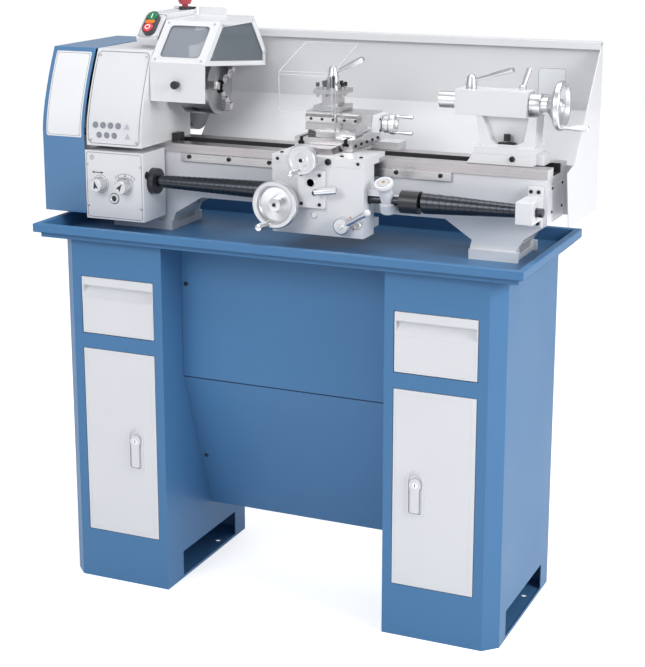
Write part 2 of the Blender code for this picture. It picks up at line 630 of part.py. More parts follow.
def chuck_guard():
    x = GUARD_X
    outline = GUARD_SIDE
    hood = prism(outline, "X", *x)
    cut(hood, prism(GUARD_INSIDE, "X", x[0] - 1, x[1] - SHEET))
    cut(hood, prism(WINDOW_SIDE, "X", x[1] - SHEET - 1, x[1] + 1))
    flange = block((x[0], x[0] + 70), (148, 150), (1290, 1311))
    join(hood, flange)
    (y0, z0), (y1, z1) = outline[1], outline[2]
    slope = Vector((y1 - y0, z1 - z0)).normalized()
    out = Vector((-slope.y, slope.x))
    start = Vector((y0, z0)) + slope * 14
    end = Vector((y1, z1)) - slope * 14
    corners = [start + out * 5, end + out * 5, end - out * 6, start - out * 6]
    cut(hood, prism([tuple(c) for c in corners], "X", x[0] + 18, x[1] - 18))
    lug = [(GUARD_PIVOT[0] - 9, GUARD_PIVOT[1] - 9), (GUARD_PIVOT[0] + 9, GUARD_PIVOT[1] - 9),
           (GUARD_PIVOT[0] + 5, GUARD_PIVOT[1] + 9), (GUARD_PIVOT[0] - 9, GUARD_PIVOT[1] + 9)]
    join(hood, prism(lug, "X", x[0], x[0] + 60))
    cut(hood, rod((x[0] - 1, *GUARD_PIVOT), (x[0] + 61, *GUARD_PIVOT), 4.3, sides=14))
    join(hood, rod((-268, -105, 1160), (-268, -89, 1160), 9, 6, sides=20))
    pivot = (x[0], *GUARD_PIVOT)
    piece(hood, "chuck_guard", "white_paint", pivot)

    glass = [start - slope * 5 - out * 2.3, end + slope * 5 - out * 2.3,
             end + slope * 5 - out * 4.3, start - slope * 5 - out * 4.3]
    front_pane = prism([tuple(g) for g in glass], "X", x[0] + 13, x[1] - 13)
    piece(front_pane, "guard_front_window", "clear_sheet", pivot)
    side = [(-72, 1206), (-3, 1285), (149, 1285), (210, 1208), (210, 1181)]
    side_pane = prism(side, "X", x[1] - SHEET - GAP - 2, x[1] - SHEET - GAP)
    piece(side_pane, "guard_side_window", "clear_sheet", pivot)


# ---- chuck -------------------------------------------------------------------------
def chuck():
    back = -316.0
    body = rod((back + 14, CENTRE_Y, CENTRE_Z), (CHUCK_FACE, CENTRE_Y, CENTRE_Z), CHUCK_RADIUS, sides=40)
    join(body, rod((back, CENTRE_Y, CENTRE_Z), (back + 15, CENTRE_Y, CENTRE_Z), 50, sides=40))
    cut(body, rod((back - 5, CENTRE_Y, CENTRE_Z), (CHUCK_FACE + 5, CENTRE_Y, CENTRE_Z), 16, sides=24))
    for k in range(3):
        turn = JAW_START + k * 2 * math.pi / 3
        slot = block((CHUCK_FACE - 22, CHUCK_FACE + 5), (CENTRE_Y - 8.6, CENTRE_Y + 8.6),
                     (CENTRE_Z + 5, CENTRE_Z + 70))
        cut(body, spun(slot, turn))
        key_x = CHUCK_FACE - 44
        key = rod((key_x, CENTRE_Y, CENTRE_Z + 50), (key_x, CENTRE_Y, CENTRE_Z + 70), 8, sides=12)
        cut(body, spun(key, turn + math.pi / 3))
    piece(body, "chuck_body", "ground_steel", (0, CENTRE_Y, CENTRE_Z))
    for k in range(3):
        steps = [(CHUCK_FACE - 21.5, JAW_IN), (CHUCK_FACE + 7, JAW_IN), (CHUCK_FACE + 7, JAW_IN + 15),
                 (CHUCK_FACE + 14, JAW_IN + 15), (CHUCK_FACE + 14, JAW_IN + 30),
                 (CHUCK_FACE + 21, JAW_IN + 30), (CHUCK_FACE + 21, JAW_OUT - 4),
                 (CHUCK_FACE + 16, JAW_OUT), (CHUCK_FACE - 21.5, JAW_OUT)]
        jaw = prism([(x, CENTRE_Z + r) for x, r in steps], "Y", CENTRE_Y - 8.2, CENTRE_Y + 8.2)
        spun(jaw, JAW_START + k * 2 * math.pi / 3)
        piece(jaw, "chuck_jaw_%d" % (k + 1), "ground_steel", (0, CENTRE_Y, CENTRE_Z))


JAW_IN, JAW_OUT = 12.0, 58.0
JAW_START = math.radians(80)


def spun(shape, angle):
    """Turns a shape about the spindle line."""
    line = Matrix.Translation((0, CENTRE_Y, CENTRE_Z))
    turn = FRAME @ line @ Matrix.Rotation(angle, 4, "X") @ line.inverted() @ FRAME.inverted()
    shape.data.transform(turn)
    return shape


# ---- splash guard ------------------------------------------------------------------
SPLASH_X = (-331.0, 600.0)
SPLASH_LINE = [(216.0, 1243.0), (216.0, 1257.0), (231.0, 1258.0), (231.0, 1108.0), (128.0, 1004.0),
               (128.0, 896.0)]
WING = [(231, 1258), (214, 1243), (32, 1024), (-20, 1013), (2, 896), (231, 892)]


def splash_guard():
    sheet = list(SPLASH_LINE) + list(reversed(offset_line(SPLASH_LINE, SHEET)))
    guard = prism(sheet, "X", *SPLASH_X)
    join(guard, prism(WING, "X", SPLASH_X[1] - SHEET, SPLASH_X[1]))
    for x in (-180, 250):
        join(guard, block((x, x + 30), (BED_BACK + GAP, 129), (930, 990)))
    piece(guard, "splash_guard", "white_paint")


# ---- carriage ----------------------------------------------------------------------
def carriage():
    low, high = SADDLE_Z
    over_bed = BED_TOP + GAP
    front, rear = BED_FRONT - GAP, BED_BACK + GAP
    saddle = block(SADDLE_X, (SADDLE_FRONT, front), (low, high))
    join(saddle, block(SADDLE_X, (front - 5, front + 34), (over_bed, high)))
    join(saddle, block((8, 124), (SADDLE_FRONT + 20, SADDLE_BACK), (over_bed, high)))
    join(saddle, block(SADDLE_X, (rear - 20, SADDLE_BACK), (over_bed, high)))
    join(saddle, block(SADDLE_X, (rear, SADDLE_BACK), (low + 2, high)))
    for x in ((SADDLE_X[0], -8), (140, SADDLE_X[1])):
        join(saddle, block(x, (rear - 20, SADDLE_BACK), (high - 1, high + 6)))
    dovetail = [(24, high - 1), (30, CROSS_Z[0] + 7), (102, CROSS_Z[0] + 7), (108, high - 1)]
    join(saddle, prism(dovetail, "Y", SADDLE_FRONT + 30, SADDLE_BACK - 1))
    cut(saddle, rod((CROSS_CENTRE, SADDLE_FRONT - 5, CROSS_SCREW_Z), (CROSS_CENTRE, 100, CROSS_SCREW_Z), 6.3,
                    sides=16))
    piece(saddle, "saddle", "white_paint")

    x = (SADDLE_X[0], SADDLE_X[1] + 2)
    apron = block(x, (SADDLE_FRONT, -66), (APRON_Z, low - GAP))
    cut(apron, block((x[0] + 6, x[1] - 6), (SADDLE_FRONT + 6, -60), (APRON_Z + 6, low - 8)))
    join(apron, block((46, 104), (SADDLE_FRONT - 14, SADDLE_FRONT + 1), (921, 1000)))
    join(apron, block((x[1] - 26, x[1]), (-67, -38), (874, 892)))
    for end in x:
        cut(apron, rod((end - 9, SCREW_Y, SCREW_Z), (end + 9, SCREW_Y, SCREW_Z), 12))
    for (x_at, z_at), radius in ((WHEEL_AT, 6.3), (HALF_NUT_AT, 6.3), (FEED_AT, 5.3)):
        hole = rod((x_at, SADDLE_FRONT - 30, z_at), (x_at, SADDLE_FRONT + 12, z_at), radius, sides=16)
        cut(apron, hole)
    join(apron, cover_cup(), dial_housing())
    piece(apron, "apron", "white_paint")


CROSS_SCREW_Z = 1026.5
WHEEL_AT, HALF_NUT_AT, FEED_AT = (4.0, 927.0), (147.0, 887.0), (122.0, 962.0)


def handwheel(name, x, z, face, radius, finish="polished_steel"):
    """The big carriage wheel: a dished disc with a thick rim and a long hub."""
    profile = [(6, 2), (14, 0), (15, -13), (radius - 13, -5), (radius - 10, 4), (radius - 2, 4), (radius, 2),
               (radius, -11), (radius - 3, -13), (radius - 12, -14), (20, -24), (13, -30), (13, -41)]
    wheel = turned([(r, h) for r, h in profile], (x, face, z), (0, -1, 0), 32)
    return wheel


def handles_and_levers():
    x, z = WHEEL_AT
    face = SADDLE_FRONT - 42.5
    wheel = handwheel("wheel", x, z, face, 52)
    grip = Vector((x - 14, z - 41))
    join(wheel, rod((grip.x, face + 2, grip.y), (grip.x, face - 54, grip.y), 6.2, 8.0, sides=16))
    join(wheel, rod((x, face + 35, z), (x, SADDLE_FRONT + 5, z), 6, sides=16))
    piece(wheel, "carriage_handwheel", "polished_steel")

    hub = rod((HALF_NUT_AT[0], SADDLE_FRONT - 21, HALF_NUT_AT[1]), (HALF_NUT_AT[0], SADDLE_FRONT - GAP,
                                                                    HALF_NUT_AT[1]), 18.5, sides=28)
    join(hub, rod((HALF_NUT_AT[0], SADDLE_FRONT - 5, HALF_NUT_AT[1]), (HALF_NUT_AT[0], SADDLE_FRONT + 10,
                                                                       HALF_NUT_AT[1]), 6, sides=16))
    start = Vector((HALF_NUT_AT[0] + 8, SADDLE_FRONT - 13, HALF_NUT_AT[1] + 3))
    join(hub, rod(start, start + Vector((56, -16, 33)), 5.0, 6.5, sides=14))
    join(hub, ball(start + Vector((56, -16, 33)), 8))
    piece(hub, "half_nut_lever", "polished_steel", (HALF_NUT_AT[0], SADDLE_FRONT,
                                                                     HALF_NUT_AT[1]))
    x, z = FEED_AT
    lever = rod((x, SADDLE_FRONT - 24, z), (x, SADDLE_FRONT - GAP, z), 9, sides=20)
    join(lever, rod((x, SADDLE_FRONT - 5, z), (x, SADDLE_FRONT + 10, z), 5, sides=14))
    grip = ((x + 14, SADDLE_FRONT - 19, z + 2), (x - 30, SADDLE_FRONT - 33, z - 3))
    join(lever, rod(*grip, 8.5, 7.0, sides=18))
    piece(lever, "feed_lever", "polished_steel", (x, SADDLE_FRONT, z))

    x, z = CROSS_CENTRE, CROSS_SCREW_Z
    collar = turned([(6, 0), (31, 0), (32, -1.5), (32, -15), (31, -17), (22, -18), (22, -31), (19, -32),
                     (19, -39)], (x, SADDLE_FRONT - 41, z), (0, -1, 0), 32)
    join(collar, rod((x, SADDLE_FRONT - 10, z), (x, SADDLE_FRONT + 60, z), 5.8, sides=16))
    face = SADDLE_FRONT - 41
    join(collar, rod((x - 8, face + 2, z - 23), (x - 8, face - 42, z - 23), 4.6, 6.2, sides=14))
    piece(collar, "cross_slide_handwheel", "polished_steel")

    disc = rod(DIAL_FOOT + DIAL_AXIS * 69.3, DIAL_FOOT + DIAL_AXIS * 72, 14.6, sides=24)
    piece(disc, "thread_dial", "polished_steel", DIAL_FOOT + DIAL_AXIS * 69)


DIAL_FOOT = Vector((233, -80, 920))
DIAL_AXIS = Vector((-2, -35, 66)).normalized()


def dial_housing():
    """The casting at the apron's right end that carries the thread dial."""
    foot, axis = DIAL_FOOT, DIAL_AXIS
    body = rod(foot, foot + axis * 22, 21, 19, sides=20)
    join(body, rod(foot + axis * 20, foot + axis * 56, 15, 14.4, sides=20))
    join(body, rod(foot + axis * 54, foot + axis * 66, 15.6, 21, sides=24))
    join(body, rod(foot + axis * 65, foot + axis * 71, 21, 20, sides=24))
    join(body, block((SADDLE_X[1] + 1, 232), (-103, -88), (950, 962)))
    cut(body, rod((190, SCREW_Y, SCREW_Z), (262, SCREW_Y, SCREW_Z), 11.0, sides=16))
    return cut(body, rod(foot + axis * 69, foot + axis * 75, 15, sides=24))


def slides():
    x, z = CROSS_X, CROSS_Z
    slide = block(x, (CROSS_FRONT, CROSS_BACK), z)
    length = (CROSS_FRONT - 2, CROSS_BACK + 2)
    for centre in (14.0, 118.0):
        cut(slide, block((centre - 4, centre + 4), length, (z[1] - 11, z[1] + 2)))
        cut(slide, block((centre - 7.5, centre + 7.5), length, (z[1] - 16, z[1] - 9)))
    under = [(22, z[0] - 2), (28.5, z[0] + 7.4), (103.5, z[0] + 7.4), (110, z[0] - 2)]
    cut(slide, prism(under, "Y", CROSS_FRONT - 2, CROSS_BACK + 2))
    for edge in ((x[0], 22.5), (110.5, x[1])):
        join(slide, block(edge, (CROSS_FRONT, CROSS_BACK), (z[0] - 5.5, z[0] + 1)))
    piece(slide, "cross_slide", "ground_steel")

    centre = (SWIVEL_X, POST_Y)
    base = prism(octagon(centre[0], centre[1], 56, 54), "Z", z[1] + GAP, 1070)
    join(base, block((centre[0] - 58, centre[0] + 62), (POST_Y - 32, POST_Y + 32), (1069, 1084)))
    tail = [(POST_Y - 17, 1083), (POST_Y - 23, 1092), (POST_Y + 23, 1092), (POST_Y + 17, 1083)]
    join(base, prism(tail, "X", centre[0] - 58, centre[0] + 62))
    cut(base, block((centre[0] - 60, centre[0] + 65), (POST_Y - 8, POST_Y + 8), (1080, 1095)))
    join(base, rod((*SHIELD_ROD, 1064), (*SHIELD_ROD, 1192), 2.2, sides=10))
    piece(base, "compound_base", "ground_steel", (*centre, z[1]))

    top = block((SLIDE_X[0], SLIDE_X[1]), (POST_Y - 33, POST_Y + 33), (1084 + GAP, 1111))
    groove = [(POST_Y - 18, 1084), (POST_Y - 24, 1092.4), (POST_Y + 24, 1092.4), (POST_Y + 18, 1084)]
    cut(top, prism(groove, "X", SLIDE_X[0] - 2, SLIDE_X[1] + 2))
    scale = [(POST_Y - 32, 1088), (POST_Y - 46, 1090), (POST_Y - 47, 1100), (POST_Y - 42, 1106),
             (POST_Y - 32, 1106)]
    join(top, prism(scale, "X", SLIDE_X[0] + 4, SLIDE_X[0] + 124))
    head = [(POST_Y - 26, 1071), (POST_Y + 26, 1071), (POST_Y + 30, 1085), (POST_Y + 26, 1108),
            (POST_Y - 26, 1108), (POST_Y - 30, 1085)]
    join(top, prism(head, "X", SLIDE_X[1] - 0.5, SLIDE_X[1] + 15))
    cut(top, rod((SLIDE_X[1] - 155, POST_Y, 1087.5), (SLIDE_X[1] + 20, POST_Y, 1087.5), 5.3, sides=14))
    join(top, rod((POST_X, POST_Y, 1110), (POST_X, POST_Y, 1166), 7.5, sides=16))
    piece(top, "top_slide", "ground_steel", (POST_X, POST_Y, 1111))
    wheel_profile = [(9, 2), (10, -3), (20, -3), (22, -5), (22, -14), (20, -16), (19, -17), (19, -28),
                     (12, -29), (12, -32)]
    wheel = turned(wheel_profile, (SLIDE_X[1] + 47.5, POST_Y, 1087.5), (1, 0, 0), 28)
    wheel_end = SLIDE_X[1] + 44
    for z_off, y_off in ((17, 2), (-17, -2)):
        join(wheel, rod((wheel_end, POST_Y + y_off, 1087.5 + z_off), (wheel_end + 40, POST_Y + y_off,
                                                                      1087.5 + z_off), 3.2, 4.4, sides=12))
    join(wheel, rod((SLIDE_X[1] - 90, POST_Y, 1087.5), (SLIDE_X[1] + 20, POST_Y, 1087.5), 5.0, sides=14))
    piece(wheel, "top_slide_handwheel", "polished_steel")


SWIVEL_X, POST_X = 70.0, 64.0
SLIDE_X = (14.0, 167.0)


def octagon(x, y, half_x, half_y):
    reach = 1 / math.cos(math.radians(22.5))
    corners = [math.radians(22.5 + 45 * i) for i in range(8)]
    return [(x + half_x * reach * math.cos(a), y + half_y * reach * math.sin(a)) for a in corners]


def tool_post():
    half = POST_SIDE / 2
    x, y = POST_X, POST_Y

    def plate(reach, low, high):
        return block((x - reach, x + reach), (y - reach, y + reach), (low, high))

    post = plate(half, 1111 + GAP, 1123)
    join(post, plate(half - 14, 1122, 1149))
    join(post, plate(half, 1148, 1158))
    cut(post, rod((x, y, 1105), (x, y, 1170), 8.0, sides=16))
    inset = half - 7.5
    for dx, dy in POST_SCREWS:
        bolt_x, bolt_y = x + dx * inset, y + dy * inset
        join(post, rod((bolt_x, bolt_y, 1141), (bolt_x, bolt_y, 1172), 3.6, sides=8))
    piece(post, "toolpost", "ground_steel", (x, y, 1111))
    lever = turned([(7, 48), (9, 46), (11, 30), (13, 24), (13, 8), (17, 6), (17, 0), (8, 0), (8, 14)],
                   (x, y, 1158 + GAP), (0, 0, 1), 24)
    tip = Vector((136, y - 4, 1225))
    start = Vector((x + 6, y - 1, 1193))
    join(lever, rod(start, tip, 4.0, 6.5, sides=14))
    piece(lever, "toolpost_lever", "polished_steel")


POST_SCREWS = [(-1, -1), (-0.33, -1), (0.33, -1), (1, -0.33), (1, 0.33), (0.33, 1), (-1, 0.33), (-1, 1)]
SHIELD_ROD = (90.0, -43.0)


def tool_shield():
    x, y = SHIELD_ROD
    bend, back = (-47.0, 1196.0), (95.0, 1247.0)
    outline = [(-49.0, 1110.0), (-50.0, 1190.0), bend, back]
    pane = prism(outline + list(reversed(offset_line(outline, SHEET))), "X", -40, 87)
    piece(pane, "tool_shield", "clear_sheet", (x, y, 1100))


# ---- tailstock ---------------------------------------------------------------------
def tailstock():
    y, z = CENTRE_Y, CENTRE_Z
    x = (391.0, 523.0)
    foot = BED_TOP + GAP
    base = block(x, (-14, 92), (foot, 1041))
    join(base, prism([(378, foot), (392, foot), (392, 1040)], "Y", -14, 92))
    join(base, block((522, 541), (10, 60), (foot, 1041)))
    join(base, block((430, 500), (BED_FRONT + 42, BED_BACK - 42), (1000, foot + 2)))
    piece(base, "tailstock_base", "white_paint")
    body = block((x[0] + 4, x[1]), (-14, 88), (1041 + GAP, 1057))
    neck = [(404, 1056), (391, 1120), (523, 1120), (520, 1056)]
    join(body, prism(neck, "Y", 6, 63))
    join(body, block(TAIL_X, (y - TAIL_HALF, y + TAIL_HALF), (z - 26, z + 26)))
    pocket = [(438, 1060), (424, 1068), (404, 1118.3), (506, 1118.3), (497, 1068), (482, 1060)]
    cut(body, prism(pocket, "Y", 4, 26))
    cut(body, rod((TAIL_X[0] - 5, y, z), (TAIL_X[1] - 6, y, z), 18.3, sides=24))
    cut(body, rod((TAIL_X[1] - 10, y, z), (TAIL_X[1] + 5, y, z), 7.3, sides=16))
    for lever_x, lever_y in ((370.6, y), (474, 70)):
        cut(body, rod((lever_x, lever_y, z + 20), (lever_x, lever_y, z + 35), 5.3, sides=12))
    piece(body, "tailstock_body", "white_paint")
    quill = rod((303, y, z), (470, y, z), 18, sides=28)
    cut(quill, rod((300, y, z), (360, y, z), 8.6, 6.5, sides=20))
    cut(quill, rod((355, y, z), (475, y, z), 7.4, sides=16))
    piece(quill, "quill", "polished_steel", (303, y, z))
    wheel = turned([(6, -2), (13, -4), (14, -14), (40, -7), (43, 0), (49, 1), (52, -3), (52, -10), (49, -14),
                    (20, -30), (16, -34), (16, -46), (22, -48), (22, -71)], (573, y, z), (1, 0, 0), 32)
    join(wheel, rod((395, y, z), (505, y, z), 7.0, sides=14))
    join(wheel, rod((568, y - 20, z - 42), (632, y - 20, z - 42), 4.6, 6.6, sides=14))
    piece(wheel, "tailstock_handwheel", "polished_steel")
    top = z + 26
    lock_profile = [(7, 29), (9, 27), (11, 10), (12, 0), (5, 0), (5, -5)]
    lock = turned(lock_profile, (370.6, y, top + GAP), (0, 0, 1), 20)
    join(lock, rod((374, y, top + 17), (470, y - 26, top + 46), 4.2, 6.6, sides=14))
    piece(lock, "quill_lock_lever", "polished_steel")
    clamp = rod((474, 70 - 6, top + GAP), (474, 70 - 6, top + 8), 8, sides=16)
    join(clamp, rod((474, 70 - 6, top + 4), (481, 84, top + 40), 5, 6, sides=14))
    piece(clamp, "tailstock_lock_lever", "polished_steel", (474, 64, top))


# ---- assembly ----------------------------------------------------------------------
def build():
    for word, side in (("left", -1), ("right", 1)):
        cabinet(word + "_cabinet", side)
        drawer(word + "_drawer", side)
        door(word + "_door", side)
        door_latch(word + "_door_latch", side)
    chip_tray()
    rear_panels()
    bed()
    headstock()
    gearbox()
    selector_knob("feed_direction_knob", KNOB_X[0])
    selector_knob("feed_range_knob", KNOB_X[1])
    gear_case()
    drive()
    feed_train()
    leadscrew_carriers()
    control_box()
    emergency_stop()
    chuck_guard()
    chuck()
    splash_guard()
    carriage()
    handles_and_levers()
    slides()
    tool_post()
    tool_shield()
    tailstock()


build()
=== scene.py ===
# %% [markdown]
# # A bench lathe on its cabinet stand
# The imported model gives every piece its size, place and motion. This file gives them
# their looks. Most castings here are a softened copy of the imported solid: the copy gets
# rounded edges, and paint or ground steel by which way its faces lie. Small things such
# as screws, dials and plates are then laid on top.

# %% The frame
import bpy
import bmesh
import json
import math
from mathutils import Matrix, Vector

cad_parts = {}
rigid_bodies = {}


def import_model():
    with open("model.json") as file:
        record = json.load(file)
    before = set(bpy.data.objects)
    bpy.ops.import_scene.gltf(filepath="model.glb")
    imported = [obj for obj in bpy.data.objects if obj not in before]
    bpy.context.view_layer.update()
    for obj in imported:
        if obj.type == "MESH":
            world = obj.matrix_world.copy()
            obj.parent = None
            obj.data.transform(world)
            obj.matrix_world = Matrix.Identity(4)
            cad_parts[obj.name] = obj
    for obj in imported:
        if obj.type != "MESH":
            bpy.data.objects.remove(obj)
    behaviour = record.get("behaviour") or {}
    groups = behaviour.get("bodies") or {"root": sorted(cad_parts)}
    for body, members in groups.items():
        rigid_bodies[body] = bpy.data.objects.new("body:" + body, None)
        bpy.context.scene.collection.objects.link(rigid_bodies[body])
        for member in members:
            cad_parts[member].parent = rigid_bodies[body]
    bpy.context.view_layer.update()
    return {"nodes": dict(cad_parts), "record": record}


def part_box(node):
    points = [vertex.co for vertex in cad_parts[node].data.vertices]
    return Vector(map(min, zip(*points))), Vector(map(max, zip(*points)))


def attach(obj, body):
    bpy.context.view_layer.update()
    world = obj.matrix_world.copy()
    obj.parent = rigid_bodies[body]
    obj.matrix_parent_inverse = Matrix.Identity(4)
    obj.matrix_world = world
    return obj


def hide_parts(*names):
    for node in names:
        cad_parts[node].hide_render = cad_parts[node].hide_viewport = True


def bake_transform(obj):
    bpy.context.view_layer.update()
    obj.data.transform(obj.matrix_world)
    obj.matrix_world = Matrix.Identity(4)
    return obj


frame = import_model()
MM = 0.001
CARRIER = {node: body for body, nodes in frame["record"]["behaviour"]["bodies"].items() for node in nodes}

# %% [markdown]
# All places below are in millimetres from the middle of the chip tray, along the bed (x),
# away from the operator (y) and up from the floor (z). The tray's own box gives the start.

# %% Places
TRAY_LOW, TRAY_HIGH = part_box("chip_tray")
START = (TRAY_LOW + TRAY_HIGH) / 2
IN_SCENE = bpy.context.scene.collection.objects


def at(x, y, z):
    return Vector((START.x + x * MM, START.y + y * MM, z * MM))


def span(node):
    """The node's box in millimetres: (x low, high), (y low, high), (z low, high)."""
    low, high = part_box(node)
    low = Vector((low.x - START.x, low.y - START.y, low.z)) / MM
    high = Vector((high.x - START.x, high.y - START.y, high.z)) / MM
    return tuple(zip(low, high))


SPINDLE_Y = sum(span("chuck_body")[1]) / 2
SPINDLE_Z = sum(span("chuck_body")[2]) / 2
print("spindle axis at", round(SPINDLE_Y, 1), round(SPINDLE_Z, 1))

# %% [markdown]
# ## Camera, room and light
# A long lens far from the machine keeps its uprights almost parallel. The room is a plain
# white studio: the world is a soft grey light for the machine and its reflections, and
# plain white for the eye, also through clear sheet.

# %% Camera
camera_data = bpy.data.cameras.new("Camera")
camera_data.sensor_width = 36.0
camera_data.lens = 86.61
camera_data.shift_y = -0.0877
camera_data.clip_end = 50.0
camera = bpy.data.objects.new("Camera", camera_data)
camera.location = at(1446.5, -3188.9, 1596.6)
camera.rotation_euler = [math.radians(a) for a in (90 - 13.82, 0.0, 23.77)]
IN_SCENE.link(camera)
bpy.context.scene.camera = camera
bpy.context.scene.view_settings.view_transform = "Standard"
print("lens", round(camera_data.lens, 1), "mm")

# %% [markdown]
# ## The room
# A white studio box gives soft, even light and bright reflections. It could be modelled as
# walls, but a world colour costs nothing and never shows a seam. Light Path lets the eye see
# plain white while the machine gets a calmer grey-blue light.

# %% World
world = bpy.data.worlds.new("Studio")
bpy.context.scene.world = world
world.use_nodes = True
nodes, links = world.node_tree.nodes, world.node_tree.links
nodes.clear()
output = nodes.new("ShaderNodeOutputWorld")
mix = nodes.new("ShaderNodeMixShader")
room = nodes.new("ShaderNodeBackground")
room.inputs["Color"].default_value = (0.93, 0.95, 1.0, 1.0)
room.inputs["Strength"].default_value = 0.50
white = nodes.new("ShaderNodeBackground")
white.inputs["Color"].default_value = (1.0, 1.0, 1.0, 1.0)
white.inputs["Strength"].default_value = 1.0
path = nodes.new("ShaderNodeLightPath")
seen = nodes.new("ShaderNodeMath")
seen.operation = "MAXIMUM"
links.new(path.outputs["Is Camera Ray"], seen.inputs[0])
links.new(path.outputs["Is Transmission Ray"], seen.inputs[1])
links.new(seen.outputs[0], mix.inputs[0])
links.new(room.outputs[0], mix.inputs[1])
links.new(white.outputs[0], mix.inputs[2])
links.new(mix.outputs[0], output.inputs["Surface"])
print("world nodes", len(nodes))

# %% [markdown]
# ## The lamps
# Product studios use a few large soft boxes. Disk lamps of more than a metre give the same
# soft shadows. One stands to the right, one in front and one above, so that each of the
# cabinet's three visible directions has its own tone.

# %% Lamps
def lamp(name, place, target, size, power):
    data = bpy.data.lights.new(name, "AREA")
    data.shape, data.size, data.energy = "DISK", size, power
    light = bpy.data.objects.new(name, data)
    light.location = at(*place)
    light.rotation_euler = (at(*target) - light.location).to_track_quat("-Z", "Y").to_euler()
    IN_SCENE.link(light)


lamp("Right lamp", (3300, -900, 2100), (0, 0, 700), 1.6, 66)
lamp("Front lamp", (-700, -3000, 2500), (0, 0, 800), 1.6, 42)
lamp("Top lamp", (300, 300, 3300), (0, 0, 900), 1.6, 32)
print("lamps", len(bpy.data.lights))

# %% [markdown]
# ## Finishes
# A finish is a shader plus small faults. Paint has an orange-peel skin, ground steel has
# fine lines along the cut, and both vary a little from place to place. Those faults are
# node groups, so that each finish can have them at its own strength.


# %% Node helpers
def group(name, ins, outs):
    """A shader group with named float, colour or vector sockets."""
    tree = bpy.data.node_groups.new(name, "ShaderNodeTree")
    kinds = {"f": "NodeSocketFloat", "c": "NodeSocketColor", "v": "NodeSocketVector"}
    for in_out, sockets in (("INPUT", ins), ("OUTPUT", outs)):
        for socket, kind in sockets.items():
            tree.interface.new_socket(socket, in_out=in_out, socket_type=kinds[kind])
    return tree, tree.nodes.new("NodeGroupInput"), tree.nodes.new("NodeGroupOutput")


def add_node(tree, kind, values=None, **settings):
    node = tree.nodes.new(kind)
    for key, value in settings.items():
        setattr(node, key, value)
    for socket, value in (values or {}).items():
        node.inputs[socket].default_value = value
    return node


def value_range(tree, source, low, high, start=0.0, end=1.0):
    limits = {"From Min": start, "From Max": end, "To Min": low, "To Max": high}
    node = add_node(tree, "ShaderNodeMapRange", limits)
    tree.links.new(source, node.inputs["Value"])
    return node.outputs["Result"]


def multiply_colour(tree, colour, shade):
    node = add_node(tree, "ShaderNodeMix", {0: 1.0}, data_type="RGBA", blend_type="MULTIPLY")
    tree.links.new(colour, node.inputs[6])
    tree.links.new(shade, node.inputs[7])
    return node.outputs[2]


print("groups so far", len(bpy.data.node_groups))

# %% [markdown]
# ## Paint with an orange-peel skin
# Powder coat and enamel are never perfectly flat: the skin is slightly dimpled and a little
# duller in places. An image could show that, but noise on Object coordinates needs no
# unwrapping and has no seams. The group is shared by every paint.

# %% Paint skin
PAINT_SKIN, skin_in, skin_out = group("Paint skin", {"Colour": "c", "Roughness": "f", "Peel": "f"},
                                      {"Colour": "c", "Roughness": "f", "Normal": "v"})
place = add_node(PAINT_SKIN, "ShaderNodeTexCoord")
cloud = add_node(PAINT_SKIN, "ShaderNodeTexNoise", {"Scale": 7.0, "Detail": 3.0})
wire = PAINT_SKIN.links.new
wire(place.outputs["Object"], cloud.inputs["Vector"])
shade = value_range(PAINT_SKIN, cloud.outputs["Fac"], 0.955, 1.03)
wire(multiply_colour(PAINT_SKIN, skin_in.outputs["Colour"], shade), skin_out.inputs["Colour"])
peel = add_node(PAINT_SKIN, "ShaderNodeTexNoise", {"Scale": 520.0, "Detail": 2.0})
wire(place.outputs["Object"], peel.inputs["Vector"])
bump = add_node(PAINT_SKIN, "ShaderNodeBump", {"Distance": 0.0004})
wire(skin_in.outputs["Peel"], bump.inputs["Strength"])
wire(peel.outputs["Fac"], bump.inputs["Height"])
wire(bump.outputs["Normal"], skin_out.inputs["Normal"])
spread = value_range(PAINT_SKIN, cloud.outputs["Fac"], 0.85, 1.2)
rough = add_node(PAINT_SKIN, "ShaderNodeMath", operation="MULTIPLY")
wire(spread, rough.inputs[0])
wire(skin_in.outputs["Roughness"], rough.inputs[1])
wire(rough.outputs[0], skin_out.inputs["Roughness"])
print("paint skin nodes", len(PAINT_SKIN.nodes))

# %% [markdown]
# ## Steel with cutter lines
# Ground and milled steel shows fine lines along the cut. Noise that is stretched far more
# one way than the other gives those lines, and a second, slower noise adds faint stains.

# %% Steel grain
GRAIN_SOCKETS = {"Colour": "c", "Roughness": "f", "Stretch": "v", "Depth": "f"}
STEEL_GRAIN, grain_in, grain_out = group("Steel grain", GRAIN_SOCKETS,
                                         {"Colour": "c", "Roughness": "f", "Normal": "v"})
place = add_node(STEEL_GRAIN, "ShaderNodeTexCoord")
stretch = add_node(STEEL_GRAIN, "ShaderNodeVectorMath", operation="MULTIPLY")
wire = STEEL_GRAIN.links.new
wire(place.outputs["Object"], stretch.inputs[0])
wire(grain_in.outputs["Stretch"], stretch.inputs[1])
lines = add_node(STEEL_GRAIN, "ShaderNodeTexNoise", {"Scale": 1.0, "Detail": 4.0, "Roughness": 0.65})
wire(stretch.outputs[0], lines.inputs["Vector"])
stain = add_node(STEEL_GRAIN, "ShaderNodeTexNoise", {"Scale": 16.0, "Detail": 2.0})
wire(place.outputs["Object"], stain.inputs["Vector"])
both = add_node(STEEL_GRAIN, "ShaderNodeMath", operation="ADD")
wire(value_range(STEEL_GRAIN, lines.outputs["Fac"], -0.12, 0.12, 0.3, 0.7), both.inputs[0])
wire(value_range(STEEL_GRAIN, stain.outputs["Fac"], 0.86, 1.06), both.inputs[1])
